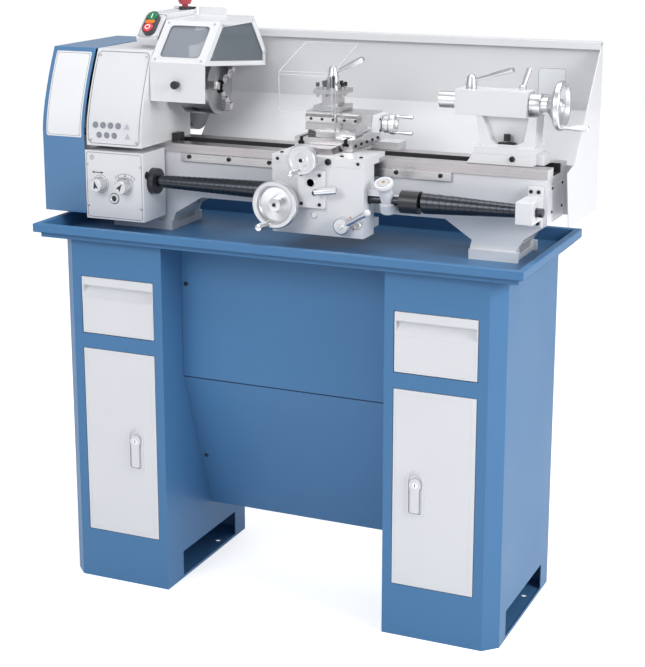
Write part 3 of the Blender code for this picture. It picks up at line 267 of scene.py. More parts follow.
wire(multiply_colour(STEEL_GRAIN, grain_in.outputs["Colour"], both.outputs[0]),
                      grain_out.inputs["Colour"])
rough = add_node(STEEL_GRAIN, "ShaderNodeMath", operation="MULTIPLY")
wire(value_range(STEEL_GRAIN, lines.outputs["Fac"], 0.88, 1.14, 0.25, 0.75), rough.inputs[0])
wire(grain_in.outputs["Roughness"], rough.inputs[1])
wire(rough.outputs[0], grain_out.inputs["Roughness"])
bump = add_node(STEEL_GRAIN, "ShaderNodeBump", {"Distance": 0.0002})
wire(grain_in.outputs["Depth"], bump.inputs["Strength"])
wire(lines.outputs["Fac"], bump.inputs["Height"])
wire(bump.outputs["Normal"], grain_out.inputs["Normal"])
print("steel grain nodes", len(STEEL_GRAIN.nodes))

# %% [markdown]
# ## Finishes by name
# Each finish is one Principled shader with a skin in front of it. Two small makers keep the
# long list of finishes readable: one for paint and plastic, one for metal.

# %% Finish makers
def skinned(name, tree, colour, roughness, metallic, coat, extra, shine=0.5):
    """A Principled finish whose colour, roughness and normal come from a group."""
    material = bpy.data.materials.new(name)
    material.use_nodes = True
    shader = material.node_tree.nodes["Principled BSDF"]
    shader.inputs["Metallic"].default_value = metallic
    shader.inputs["Coat Weight"].default_value = coat
    shader.inputs["Coat Roughness"].default_value = 0.08
    shader.inputs["Specular IOR Level"].default_value = shine
    skin = material.node_tree.nodes.new("ShaderNodeGroup")
    skin.node_tree = tree
    skin.inputs["Colour"].default_value = (*colour, 1.0)
    skin.inputs["Roughness"].default_value = roughness
    for socket, value in extra.items():
        skin.inputs[socket].default_value = value
    links = material.node_tree.links
    links.new(skin.outputs["Colour"], shader.inputs["Base Color"])
    links.new(skin.outputs["Roughness"], shader.inputs["Roughness"])
    links.new(skin.outputs["Normal"], shader.inputs["Normal"])
    material.diffuse_color = (*colour, 1.0)
    return material


def paint(name, colour, roughness=0.32, coat=0.25, peel=0.12, shine=0.5):
    return skinned(name, PAINT_SKIN, colour, roughness, 0.0, coat, {"Peel": peel}, shine)


def steel(name, colour, roughness, stretch, depth=0.25, metallic=1.0):
    return skinned(name, STEEL_GRAIN, colour, roughness, metallic, 0.0, {"Stretch": stretch, "Depth": depth})


BLUE = paint("Blue powder coat", (0.072, 0.196, 0.385), 0.42, 0.04, 0.08, 0.22)
# Painted shade: a darker copy of the stand's blue for the tray below its rim.
SHADE_BLUE = paint("Painted shade blue under the rim", (0.016, 0.055, 0.130), 0.55, 0.0, 0.08, 0.1)
WHITE = paint("White enamel", (0.75, 0.755, 0.77), 0.30, 0.30, 0.14)
PANEL_WHITE = paint("Panel white", (0.83, 0.835, 0.85), 0.34, 0.15, 0.05)
DOOR_GREY = paint("Door grey", (0.70, 0.71, 0.735), 0.36, 0.2, 0.08)
LABEL = paint("Bare sticker", (0.24, 0.26, 0.30), 0.5, 0.0, 0.02)
LABEL_PALE = paint("Bare pale sticker", (0.50, 0.52, 0.55), 0.5, 0.0, 0.02)
BLACK = paint("Black plastic", (0.018, 0.019, 0.022), 0.38, 0.1, 0.10)
STATION_GREY = paint("Station plastic", (0.045, 0.05, 0.06), 0.42, 0.1, 0.08)
GREEN = paint("Green button", (0.012, 0.19, 0.075), 0.32, 0.3, 0.03)
ORANGE = paint("Orange lens", (0.82, 0.21, 0.012), 0.25, 0.4, 0.03)
RED = paint("Red button", (0.72, 0.035, 0.05), 0.32, 0.3, 0.03)
STOP_RED = paint("Mushroom red", (0.42, 0.035, 0.055), 0.35, 0.3, 0.03)
MARK_WHITE = paint("White mark", (0.85, 0.85, 0.85), 0.5, 0.0, 0.0)
INK = paint("Dark ink", (0.025, 0.027, 0.035), 0.55, 0.0, 0.0)
GREY_INK = paint("Grey ink", (0.17, 0.18, 0.20), 0.55, 0.0, 0.0)
RED_INK = paint("Red ink", (0.45, 0.02, 0.03), 0.55, 0.0, 0.0)
BRASS = steel("Brass", (0.56, 0.41, 0.19), 0.3, (300, 300, 300))
WAY_STEEL = steel("Ground way", (0.56, 0.53, 0.54), 0.32, (6, 900, 900), 0.35)
CUT_STEEL = steel("Milled steel", (0.55, 0.54, 0.545), 0.30, (500, 30, 500), 0.30)
SLIDE_STEEL = steel("Ground slide", (0.60, 0.59, 0.60), 0.26, (20, 700, 700), 0.30)
CHUCK_STEEL = steel("Chuck steel", (0.36, 0.365, 0.375), 0.34, (900, 60, 60), 0.30)
CHROME = steel("Bright turned steel", (0.74, 0.745, 0.76), 0.33, (1500, 1500, 1500), 0.0)
SATIN = steel("Satin steel", (0.76, 0.765, 0.78), 0.38, (1500, 1500, 1500), 0.0)
DARK_STEEL = steel("Blued steel", (0.055, 0.06, 0.07), 0.30, (60, 400, 400), 0.20, 0.85)
BLACK_OXIDE = steel("Black oxide", (0.020, 0.020, 0.023), 0.46, (300, 300, 300), 0.10, 0.3)
RUBBER = paint("Rubber", (0.012, 0.012, 0.013), 0.7, 0.0, 0.3)
MOTOR_GREY = paint("Motor grey", (0.10, 0.11, 0.125), 0.45, 0.1, 0.2)
# Painted shade: near black for the inside of a hole.
HOLE_SHADE = paint("Painted shade in a hole", (0.006, 0.006, 0.008), 0.9, 0.0, 0.0)
# Painted shade: a dark finish for the recess between the bed's ways.
WAY_GAP_SHADE = paint("Painted shade between the ways", (0.030, 0.029, 0.032), 0.6, 0.0, 0.2)
# Painted shadow: a dark strip for the gap between the rear panels.
SEAM_SHADOW_BLUE = paint("Seam shadow", (0.010, 0.030, 0.075), 0.8, 0.0, 0.0)


def clear(name, colour, roughness, alpha):
    """Thin clear plastic: mostly see-through, with a plain gloss on top."""
    material = bpy.data.materials.new(name)
    material.use_nodes = True
    shader = material.node_tree.nodes["Principled BSDF"]
    shader.inputs["Base Color"].default_value = (*colour, 1.0)
    shader.inputs["Roughness"].default_value = roughness
    shader.inputs["Alpha"].default_value = alpha
    material.diffuse_color = (*colour, alpha)
    return material


WINDOW = clear("Guard window", (0.34, 0.37, 0.42), 0.10, 0.60)
# Painted shade: the side window is a darker copy of the front window's clear sheet.
SHADED_SIDE_WINDOW = clear("Guard side window, painted shade", (0.15, 0.18, 0.21), 0.10, 0.68)
SHIELD = clear("Clear shield", (0.52, 0.56, 0.60), 0.06, 0.07)
# Painted highlight: a bright, half see-through finish for the edges of clear sheet.
SHIELD_EDGE_HIGHLIGHT = clear("Painted highlight on clear sheet edge", (0.90, 0.92, 0.94), 0.15, 0.50)
LENS = clear("Oil sight lens", (0.75, 0.72, 0.55), 0.05, 0.85)
print("finishes", len(bpy.data.materials))

# %% [markdown]
# ## Making pieces
# `keep` is the last step of nearly every piece: it links the mesh, gives it a finish, puts it on
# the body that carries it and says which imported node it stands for, if any.


# %% Keeping a piece
MADE = []


def tell(title):
    """Says how many pieces a cell has made."""
    print(title + ":", len(MADE), "pieces")
    MADE.clear()


def keep(mesh, name, finishes, node, stands_for=(), soft_edge=0.0, segments=2, angle=32):
    """Links a mesh as a piece that rides with a node's body."""
    piece = bpy.data.objects.new(name, mesh)
    IN_SCENE.link(piece)
    mesh.materials.clear()
    for finish in finishes if isinstance(finishes, (list, tuple)) else [finishes]:
        mesh.materials.append(finish)
    shade_by_angle(mesh, angle)
    if soft_edge:
        bevel = piece.modifiers.new("Soft edges", "BEVEL")
        bevel.width, bevel.segments = soft_edge * MM, segments
        bevel.limit_method, bevel.angle_limit = "ANGLE", math.radians(angle)
        bevel.miter_outer = "MITER_ARC"
        flat = piece.modifiers.new("Flat faces", "WEIGHTED_NORMAL")
        flat.keep_sharp = True
    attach(piece, CARRIER[node])
    if stands_for:
        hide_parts(*stands_for)
    MADE.append(name)
    return piece


def shade_by_angle(mesh, angle):
    bm = bmesh.new()
    bm.from_mesh(mesh)
    limit = math.radians(angle)
    for face in bm.faces:
        face.smooth = True
    for edge in bm.edges:
        edge.smooth = len(edge.link_faces) == 2 and edge.calc_face_angle(0.0) < limit
    bm.to_mesh(mesh)
    bm.free()


def baked(sketch):
    """The finished mesh of an object, which is then thrown away."""
    graph = bpy.context.evaluated_depsgraph_get()
    mesh = bpy.data.meshes.new_from_object(sketch.evaluated_get(graph))
    bpy.data.objects.remove(sketch, do_unlink=True)
    return mesh


# %% [markdown]
# ## Softened copies
# Castings and folded sheet have no knife edges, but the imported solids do. A bevel rounds
# them, and it needs clean faces to work on, so the loose triangles are merged first. Faces
# with many corners are cut up again, because openings in them would confuse the bevel.

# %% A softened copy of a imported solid
def copy_of(node):
    """The node's mesh with its loose triangles merged into whole faces."""
    bm = bmesh.new()
    bm.from_mesh(frame["nodes"][node].data)
    bmesh.ops.remove_doubles(bm, verts=bm.verts, dist=0.00002)
    bmesh.ops.dissolve_limit(bm, angle_limit=math.radians(0.6), verts=bm.verts, edges=bm.edges)
    bmesh.ops.recalc_face_normals(bm, faces=bm.faces)
    many_sided = [face for face in bm.faces if len(face.verts) > 4]
    bmesh.ops.triangulate(bm, faces=many_sided, ngon_method="EAR_CLIP")
    mesh = bpy.data.meshes.new(node)
    bm.to_mesh(mesh)
    bm.free()
    if "custom_normal" in mesh.attributes:
        mesh.attributes.remove(mesh.attributes["custom_normal"])
    return mesh


def soften(node, finishes, width, choose=None, segments=2, angle=32, name=None):
    """Stands a bevelled copy in for a node; choose(centre, normal) picks a face's finish."""
    mesh = copy_of(node)
    piece = keep(mesh, name or node + "_body", finishes, node, (node,), width, segments, angle)
    if choose:
        for face in mesh.polygons:
            centre = face.center
            place = Vector((centre.x - START.x, centre.y - START.y, centre.z)) / MM
            face.material_index = choose(place, face.normal)
    return piece


print("nodes to dress", len(frame["nodes"]))


# %% [markdown]
# Three kinds of mesh cover nearly every small part: a turned shape is a profile spun round
# a line, a plate is a flat outline with some thickness, and a bar is a swept circle.


# %% Turned shapes
def frame_along(base, direction, up=(0, 0, 1)):
    """A matrix whose z axis lies along a direction and whose y axis leans towards up."""
    z = Vector(direction).normalized()
    side = Vector(up).cross(z)
    x = side.normalized() if side.length > 1e-4 else Vector((1, 0, 0))
    turn = Matrix((x, z.cross(x), z)).transposed().to_4x4()
    return Matrix.Translation(base) @ turn


def turned(profile, base, direction, sides=48):
    """Spins (radius, height) points, in millimetres, round a line from base."""
    bm = bmesh.new()
    rings = []
    for radius, height in profile:
        if radius < 1e-6:
            rings.append([bm.verts.new((0, 0, height * MM))])
        else:
            angles = [2 * math.pi * i / sides for i in range(sides)]
            rings.append([bm.verts.new((radius * MM * math.cos(a), radius * MM * math.sin(a), height * MM))
                          for a in angles])
    for upper, lower in zip(rings, rings[1:]):
        for i in range(max(len(upper), len(lower))):
            j = (i + 1) % sides
            corners = ([upper[0]] if len(upper) == 1 else [upper[i], upper[j]]) + \
                      ([lower[0]] if len(lower) == 1 else [lower[j], lower[i]])
            if len(corners) > 2:
                bm.faces.new(corners)
    for ring in (rings[0], rings[-1]):
        if len(ring) > 1:
            bm.faces.new(ring)
    bmesh.ops.recalc_face_normals(bm, faces=bm.faces)
    bmesh.ops.transform(bm, matrix=frame_along(base, direction), verts=bm.verts)
    mesh = bpy.data.meshes.new("turned")
    bm.to_mesh(mesh)
    bm.free()
    return mesh


print("a line frame's own z", tuple(frame_along(START, (0, 0, 1)).col[2][:3]))

# %% [markdown]
# ## Flat plates
# Covers, stickers, washers and signs are outlines with a thickness. A filled 2D curve makes
# them in one go and cuts its own holes, which is simpler than a boolean for each hole.

# %% Plates
def plate(outlines, thickness, place):
    """A flat plate, in millimetres: the first outline is its edge, the others are holes."""
    curve = bpy.data.curves.new("plate", "CURVE")
    curve.dimensions, curve.fill_mode = "2D", "BOTH"
    curve.extrude = thickness / 2
    for outline in outlines:
        spline = curve.splines.new("POLY")
        spline.points.add(len(outline) - 1)
        for point, (u, v) in zip(spline.points, outline):
            point.co = (u, v, 0.0, 1.0)
        spline.use_cyclic_u = True
    sketch = bpy.data.objects.new("plate", curve)
    IN_SCENE.link(sketch)
    mesh = baked(sketch)
    bm = bmesh.new()
    bm.from_mesh(mesh)
    bmesh.ops.remove_doubles(bm, verts=bm.verts, dist=0.001)
    bmesh.ops.dissolve_limit(bm, angle_limit=math.radians(0.5), verts=bm.verts, edges=bm.edges)
    bmesh.ops.recalc_face_normals(bm, faces=bm.faces)
    lift = Matrix.Translation((0, 0, thickness / 2))
    bmesh.ops.transform(bm, matrix=place @ Matrix.Scale(MM, 4) @ lift, verts=bm.verts)
    bm.to_mesh(mesh)
    bm.free()
    return mesh


def rounded(width, height, radius, centre=(0, 0), steps=6):
    points = []
    for quarter, (sx, sy) in enumerate(((1, 1), (-1, 1), (-1, -1), (1, -1))):
        middle = (centre[0] + sx * (width / 2 - radius), centre[1] + sy * (height / 2 - radius))
        for i in range(steps + 1):
            angle = math.radians(90 * quarter + 90 * i / steps)
            points.append((middle[0] + radius * math.cos(angle), middle[1] + radius * math.sin(angle)))
    return points


def disc(radius, steps=32):
    angles = [2 * math.pi * i / steps for i in range(steps)]
    return [(radius * math.cos(a), radius * math.sin(a)) for a in angles]


def inset(outline, distance):
    """Moves a convex outline's corners inwards, towards its middle, by a distance."""
    points = [Vector(p) for p in outline]
    moved = []
    for i, point in enumerate(points):
        before = (point - points[i - 1]).normalized()
        after = (points[(i + 1) % len(points)] - point).normalized()
        inward = Vector((-before.y - after.y, before.x + after.x)).normalized()
        lean = max(0.35, inward.dot(Vector((-before.y, before.x))))
        moved.append(tuple(point + inward * distance / lean))
    return moved


def faceted(width, height, cut):
    """A rectangle with its corners cut off, as outline."""
    w, h = width / 2, height / 2
    return [(w, h - cut), (w - cut, h), (cut - w, h), (-w, h - cut), (-w, cut - h), (cut - w, -h),
            (w - cut, -h), (w, cut - h)]


def face_frame(origin, across, up):
    """A matrix for a plate: x runs across, y runs up, z comes out of the surface."""
    x = Vector(across).normalized()
    z = x.cross(Vector(up)).normalized()
    turn = Matrix((x, z.cross(x), z)).transposed().to_4x4()
    return Matrix.Translation(origin) @ turn


FRONT, TOP = ((1, 0, 0), (0, 0, 1)), ((1, 0, 0), (0, 1, 0))


def front_at(x, y, z):
    """A plate frame on a face that looks at the operator."""
    return face_frame(at(x, y, z), *FRONT)


def top_at(x, y, z):
    """A plate frame on a face that looks up."""
    return face_frame(at(x, y, z), *TOP)


print("a round outline has", len(disc(1.0)), "corners")

# %% [markdown]
# ## Bars and rods
# Lever arms are round bars that grow thicker towards the hand. A curve with a bevel depth
# does that, as every point of a curve can have its own radius.

# %% Bars
def bar(points, radius, sides=16, radii=None):
    """A round bar through points in metres; radii gives its radius at each point."""
    curve = bpy.data.curves.new("bar", "CURVE")
    curve.dimensions, curve.bevel_depth = "3D", radius * MM
    curve.bevel_resolution, curve.use_fill_caps = sides // 4, True
    spline = curve.splines.new("POLY")
    spline.points.add(len(points) - 1)
    for i, point in enumerate(points):
        spline.points[i].co = (*point, 1.0)
        spline.points[i].radius = radii[i] / radius if radii else 1.0
    sketch = bpy.data.objects.new("bar", curve)
    IN_SCENE.link(sketch)
    mesh = baked(sketch)
    bm = bmesh.new()
    bm.from_mesh(mesh)
    bmesh.ops.remove_doubles(bm, verts=bm.verts, dist=0.00001)
    bmesh.ops.recalc_face_normals(bm, faces=bm.faces)
    bm.to_mesh(mesh)
    bm.free()
    return mesh


def joined(*meshes):
    """Several meshes as one."""
    bm = bmesh.new()
    for mesh in meshes:
        bm.from_mesh(mesh)
    whole = bpy.data.meshes.new("joined")
    bm.to_mesh(whole)
    bm.free()
    return whole


def turned_ball(radius, cut, place, direction):
    """A ball on the end of a lever, with its poles cut a little flat."""
    arc = [math.radians(a) for a in range(15, 166, 15)]
    profile = [(0, cut)] + [(radius * math.sin(a), radius * math.cos(a)) for a in arc] + [(0, -cut)]
    return turned(profile, place, direction, 32)


print("meshes so far", len(bpy.data.meshes))


# %% [markdown]
# ## Fasteners
# Screws repeat all over a machine, so one Geometry Nodes tree sets a head on every point
# it is given and turns it to face along that point's stored direction.

# %% A tree that sets heads on points
HEADS = bpy.data.node_groups.new("Heads on points", "GeometryNodeTree")
for socket, kind in (("Points", "Geometry"), ("Head", "Object"), ("Size", "Float"), ("Finish", "Material")):
    HEADS.interface.new_socket(socket, in_out="INPUT", socket_type="NodeSocket" + kind)
HEADS.interface.new_socket("Heads", in_out="OUTPUT", socket_type="NodeSocketGeometry")
tree_in, tree_out = HEADS.nodes.new("NodeGroupInput"), HEADS.nodes.new("NodeGroupOutput")
facing = add_node(HEADS, "GeometryNodeInputNamedAttribute", data_type="FLOAT_VECTOR")
facing.inputs["Name"].default_value = "facing"
aim = add_node(HEADS, "FunctionNodeAlignRotationToVector", axis="Z")
info = add_node(HEADS, "GeometryNodeObjectInfo", transform_space="ORIGINAL")
setter = add_node(HEADS, "GeometryNodeInstanceOnPoints")
real = add_node(HEADS, "GeometryNodeRealizeInstances")
finish = add_node(HEADS, "GeometryNodeSetMaterial")
wire = HEADS.links.new
wire(facing.outputs["Attribute"], aim.inputs["Vector"])
wire(tree_in.outputs["Head"], info.inputs["Object"])
wire(tree_in.outputs["Points"], setter.inputs["Points"])
wire(info.outputs["Geometry"], setter.inputs["Instance"])
wire(aim.outputs["Rotation"], setter.inputs["Rotation"])
wire(tree_in.outputs["Size"], setter.inputs["Scale"])
wire(setter.outputs["Instances"], real.inputs["Geometry"])
wire(real.outputs["Geometry"], finish.inputs["Geometry"])
wire(tree_in.outputs["Finish"], finish.inputs["Material"])
wire(finish.outputs["Geometry"], tree_out.inputs["Heads"])
print("head tree nodes", len(HEADS.nodes))

# %% [markdown]
# ## Two screw heads
# Most screws on the machine are cap screws with a hexagon socket; small plates have pan
# heads with a cross. Each head is modelled once, one millimetre across, and scaled where it
# is set, so both stay light enough to repeat.

# %% Heads to choose from
def socket_head():
    """A cap screw one millimetre across, with a hexagon socket in its top."""
    outer, depth = 0.5, 0.34
    bm = bmesh.new()
    rim = [(outer, 0.0), (outer, depth * 0.8), (outer * 0.88, depth)]
    rings = [[bm.verts.new((r * math.cos(a), r * math.sin(a), h)) for a in
              (2 * math.pi * i / 24 for i in range(24))] for r, h in rim]
    for h, r in ((depth, outer * 0.52), (depth * 0.35, outer * 0.52)):
        hexagon = []
        for i in range(24):
            a = 2 * math.pi * i / 24
            reach = r / math.cos((a + math.pi / 6) % (math.pi / 3) - math.pi / 6)
            hexagon.append(bm.verts.new((reach * math.cos(a), reach * math.sin(a), h)))
        rings.append(hexagon)
    for lower, upper in zip(rings, rings[1:]):
        for i in range(24):
            bm.faces.new((lower[i], lower[(i + 1) % 24], upper[(i + 1) % 24], upper[i]))
    bm.faces.new(rings[-1])
    bm.faces.new(list(reversed(rings[0])))
    return head_object(bm, "Socket head")


def cross_head():
    """A pan head one millimetre across with a small cross recess."""
    bm = bmesh.new()
    rings = []
    for r, h in ((0.5, 0.0), (0.48, 0.12), (0.36, 0.24), (0.2, 0.28), (0.11, 0.16)):
        ring = []
        for i in range(16):
            a = 2 * math.pi * i / 16
            pull = 0.45 if h == 0.16 and i % 4 else 1.0
            ring.append(bm.verts.new((r * pull * math.cos(a), r * pull * math.sin(a), h)))
        rings.append(ring)
    for lower, upper in zip(rings, rings[1:]):
        for i in range(16):
            bm.faces.new((lower[i], lower[(i + 1) % 16], upper[(i + 1) % 16], upper[i]))
    bm.faces.new(rings[-1])
    bm.faces.new(list(reversed(rings[0])))
    return head_object(bm, "Cross head")


def head_object(bm, name):
    mesh = bpy.data.meshes.new(name)
    bm.to_mesh(mesh)
    bm.free()
    shade_by_angle(mesh, 30)
    return bpy.data.objects.new(name, mesh)


SOCKET, CROSS = socket_head(), cross_head()


def screws(name, places, node, diameter, finish=BLACK_OXIDE, head=SOCKET):
    """Sets screw heads at (point, direction) pairs; diameter is in millimetres."""
    mesh = bpy.data.meshes.new(name)
    mesh.from_pydata([tuple(point) for point, _ in places], [], [])
    facing = mesh.attributes.new("facing", "FLOAT_VECTOR", "POINT")
    for i, (_, direction) in enumerate(places):
        facing.data[i].vector = Vector(direction).normalized()
    points = bpy.data.objects.new(name, mesh)
    IN_SCENE.link(points)
    IN_SCENE.link(head)
    made = points.modifiers.new("Heads", "NODES")
    made.node_group = HEADS
    sockets = {item.name: item.identifier for item in HEADS.interface.items_tree if item.in_out == "INPUT"}
    made[sockets["Head"]] = head
    made[sockets["Size"]] = diameter * MM
    made[sockets["Finish"]] = finish
    whole = baked(points)
    IN_SCENE.unlink(head)
    return keep(whole, name, finish, node)


RIGHTWARD = Vector((1, 0, 0))
FORWARD, UPWARD = Vector((0, -1, 0)), Vector((0, 0, 1))
print("head faces", len(SOCKET.data.polygons), len(CROSS.data.polygons))

# %% [markdown]
# ## Scales
# A dial is a ring of short lines with a longer one at every fifth. The tree below spreads
# thin bars round a circle, and scales the ones that mark a whole step.

# %% A tree that rules lines round a ring
MARKS = bpy.data.node_groups.new("Marks round a ring", "GeometryNodeTree")
MARKS.interface.new_socket("Blank", in_out="INPUT", socket_type="NodeSocketGeometry")
for socket, kind in (("Count", "Int"), ("Radius", "Float"), ("Length", "Float"), ("Width", "Float"),
                     ("Every", "Int"), ("Flat", "Float"), ("Finish", "Material")):
    MARKS.interface.new_socket(socket, in_out="INPUT", socket_type="NodeSocket" + kind)
MARKS.interface.new_socket("Marks", in_out="OUTPUT", socket_type="NodeSocketGeometry")
tree_in, tree_out = MARKS.nodes.new("NodeGroupInput"), MARKS.nodes.new("NodeGroupOutput")


def maths(operation, first, second=None):
    """Sums in the ring's tree, on sockets or plain numbers."""
    node = add_node(MARKS, "ShaderNodeMath", operation=operation)
    for socket, value in zip(node.inputs, (first, second)):
        if hasattr(value, "is_linked"):
            MARKS.links.new(value, socket)
        elif value is not None:
            socket.default_value = value
    return node.outputs[0]


index = MARKS.nodes.new("GeometryNodeInputIndex").outputs[0]
step = maths("DIVIDE", 2 * math.pi, tree_in.outputs["Count"])
angle = maths("MULTIPLY", index, step)
spot = MARKS.nodes.new("ShaderNodeCombineXYZ")
for axis, wave in enumerate(("COSINE", "SINE")):
    MARKS.links.new(maths("MULTIPLY", maths(wave, angle), tree_in.outputs["Radius"]), spot.inputs[axis])
points = MARKS.nodes.new("GeometryNodePoints")
wire = MARKS.links.new
wire(tree_in.outputs["Count"], points.inputs["Count"])
wire(spot.outputs[0], points.inputs["Position"])
turn = MARKS.nodes.new("ShaderNodeCombineXYZ")
wire(angle, turn.inputs[2])
cube = MARKS.nodes.new("GeometryNodeMeshCube")
LONGER, THIN = 0.8, 0.00012
whole = maths("LESS_THAN", maths("MODULO", index, tree_in.outputs["Every"]), 0.5)
longer = maths("ADD", maths("MULTIPLY", whole, LONGER), 1.0)
grow = maths("MULTIPLY", tree_in.outputs["Length"], longer)
flat = tree_in.outputs["Flat"]
size = MARKS.nodes.new("ShaderNodeCombineXYZ")
upright = maths("SUBTRACT", 1.0, flat)
along_radius = maths("ADD", maths("MULTIPLY", grow, flat), maths("MULTIPLY", THIN, upright))
along_axis = maths("ADD", maths("MULTIPLY", THIN, flat), maths("MULTIPLY", grow, upright))
for axis, source in enumerate((along_radius, tree_in.outputs["Width"], along_axis)):
    wire(source, size.inputs[axis])
setter = MARKS.nodes.new("GeometryNodeInstanceOnPoints")
wire(points.outputs[0], setter.inputs["Points"])
wire(cube.outputs["Mesh"], setter.inputs["Instance"])
wire(turn.outputs[0], setter.inputs["Rotation"])
wire(size.outputs[0], setter.inputs["Scale"])
real = MARKS.nodes.new("GeometryNodeRealizeInstances")
finish = MARKS.nodes.new("GeometryNodeSetMaterial")
wire(setter.outputs[0], real.inputs[0])
wire(real.outputs[0], finish.inputs["Geometry"])
wire(tree_in.outputs["Finish"], finish.inputs["Material"])
wire(finish.outputs[0], tree_out.inputs[0])


def marks(name, base, direction, node, count, radius, length, every=5, width=0.35, flat=False, finish=INK):
    """Rules lines round a ring: on its flat end, or round its outside."""
    blank = bpy.data.objects.new(name, bpy.data.meshes.new(name))
    IN_SCENE.link(blank)
    made = blank.modifiers.new("Marks", "NODES")
    made.node_group = MARKS
    sockets = {item.name: item.identifier for item in MARKS.interface.items_tree if item.in_out == "INPUT"}
    values = {"Count": count, "Radius": radius * MM, "Length": length * MM, "Every": every,
              "Width": width * MM, "Flat": float(flat), "Finish": finish}
    for socket, value in values.items():
        made[sockets[socket]] = value
    mesh = baked(blank)
    mesh.transform(frame_along(base, direction))
    return keep(mesh, name, finish, node)


print("ring tree nodes", len(MARKS.nodes))

# %% [markdown]
# ## Words and signs
# Only plain control letters and arrows are made. They could be painted with an image, but
# real letters of a tenth of a millimetre stay sharp and need no picture.

# %% Words and signs
def words(name, text, size, place, node, finish=INK):
    """A few flat letters, size in millimetres, centred on a plate frame."""
    curve = bpy.data.curves.new(name, "FONT")
    curve.body, curve.size = text, size * MM
    curve.align_x, curve.align_y, curve.extrude = "CENTER", "CENTER", 0.00006
    sketch = bpy.data.objects.new(name, curve)
    IN_SCENE.link(sketch)
    mesh = baked(sketch)
    mesh.transform(place @ Matrix.Translation((0, 0, 0.00012)))
    return keep(mesh, name, finish, node)


def line_frame(name, outline, width, place, node, finish=GREY_INK):
    """A thin printed line that follows a closed outline."""
    mesh = plate([outline, inset(outline, width)], 0.12, place @ Matrix.Translation((0, 0, 0.00004)))
    return keep(mesh, name, finish, node)


def flat_patch(name, outline, place, node, finish, thickness=0.3, soft=0.0):
    return keep(plate([outline], thickness, place), name, finish, node, soft_edge=soft)


def arc_points(radius, start, end, steps=16):
    """Points along an arc, angles in degrees."""
    angles = [math.radians(start + (end - start) * i / steps) for i in range(steps + 1)]
    return [(radius * math.cos(a), radius * math.sin(a)) for a in angles]


print("arc points", len(arc_points(39.0, 48, 132)))


# %% [markdown]
# ## The stand
# Folded sheet steel never has a knife edge. Every piece of the stand gets a small round
# along its folds: under a millimetre on the thin rear panels, and two on the tray's rim.
# Below the rim the tray is painted a darker blue as painted shade, since little light gets in there.

# %% Cabinets, tray and panels
RIM_UNDERSIDE = 828


# Painted shade: tray faces below the rim that do not look up take the darker blue.
def tray_finish(place, normal):
    return 1 if place.z < RIM_UNDERSIDE and normal.z < 0.5 else 0


for side in ("left", "right"):
    soften(side + "_cabinet", BLUE, 1.6, segments=3)
    for part, width in (("_door", 1.5), ("_drawer", 1.3), ("_door_latch", 1.2)):
        soften(side + part, DOOR_GREY, width, segments=3)
soften("chip_tray", [BLUE, SHADE_BLUE], 2.2, tray_finish, segments=3)
soften("upper_rear_panel", BLUE, 0.8)
soften("lower_rear_panel", BLUE, 0.8)
tell("Cabinets, tray and panels")

# %% [markdown]
# ## Door rims and latch keyholes
# The doors and drawer fronts have a raised hem where the sheet is folded back. A thin ring
# on the face catches the light as the fold does. Each latch has a lock near its top.

# %% Door rims and latch keyholes
LOCK_DROP, BELOW_GRIP = 14, (0, -23.5)
for side in ("left", "right"):
    (x0, x1), _, (z0, z1) = span(side + "_door")
    face = span(side + "_cabinet")[1][0]
    outer, inner = (rounded(x1 - x0 - less, z1 - z0 - less, 2.0) for less in (12, 20))
    hem = plate([outer, inner], 0.5, front_at((x0 + x1) / 2, face + 0.1, (z0 + z1) / 2))
    keep(hem, side + "_door_hem", DOOR_GREY, side + "_door", soft_edge=0.5)
    (x0, x1), _, (z0, z1) = span(side + "_drawer")
    rims = [rounded(x1 - x0 - 3, 82, 2.0, BELOW_GRIP), rounded(x1 - x0 - 10, 75, 1.5, BELOW_GRIP)]
    hem = plate(rims, 0.7, front_at((x0 + x1) / 2, face + 0.1, (z0 + z1) / 2))
    keep(hem, side + "_drawer_hem", DOOR_GREY, side + "_drawer", soft_edge=0.4)
    (x0, x1), (y0, _), (_, z1) = span(side + "_door_latch")
    x, z = (x0 + x1) / 2, z1 - LOCK_DROP
    lock = turned([(0, 0.6), (6.5, 0.6), (7.2, 0.0), (7.2, -1.0)], at(x, y0, z), FORWARD)
    keep(lock, side + "_latch_barrel", SATIN, side + "_door_latch")
    # The keyhole is a flat dark plate: painted shade for the inside of the slot.
    slot = plate([rounded(1.6, 7.5, 0.7)], 0.3, front_at(x, y0 - 0.6, z))
    keep(slot, side + "_latch_keyhole", HOLE_SHADE, side + "_door_latch")
tell("Door rims and latch keyholes")

# %% [markdown]
# ## Seam between the rear panels
# The two panels overlap, and the overlap shows as one dark line of shade. A thin dark strip,
# a painted shadow, is steadier than a real gap, which would need a deeper model behind it.

# %% Seam between the rear panels
(_, panel_right), (panel_face, _), (seam_z, _) = span("upper_rear_panel")
seam_place = front_at(0, panel_face + 0.4, seam_z - 0.8)
flat_patch("panel_seam", rounded(527, 2.6, 0.5), seam_place, "upper_rear_panel", SEAM_SHADOW_BLUE, 0.5)
tell("Seam between the rear panels")

# %% [markdown]
# ## Panel screws
# The rear panels are held by a screw near each cabinet. The lower panel slopes, so its
# screws are aimed along its own slope, worked out from the panel's box.

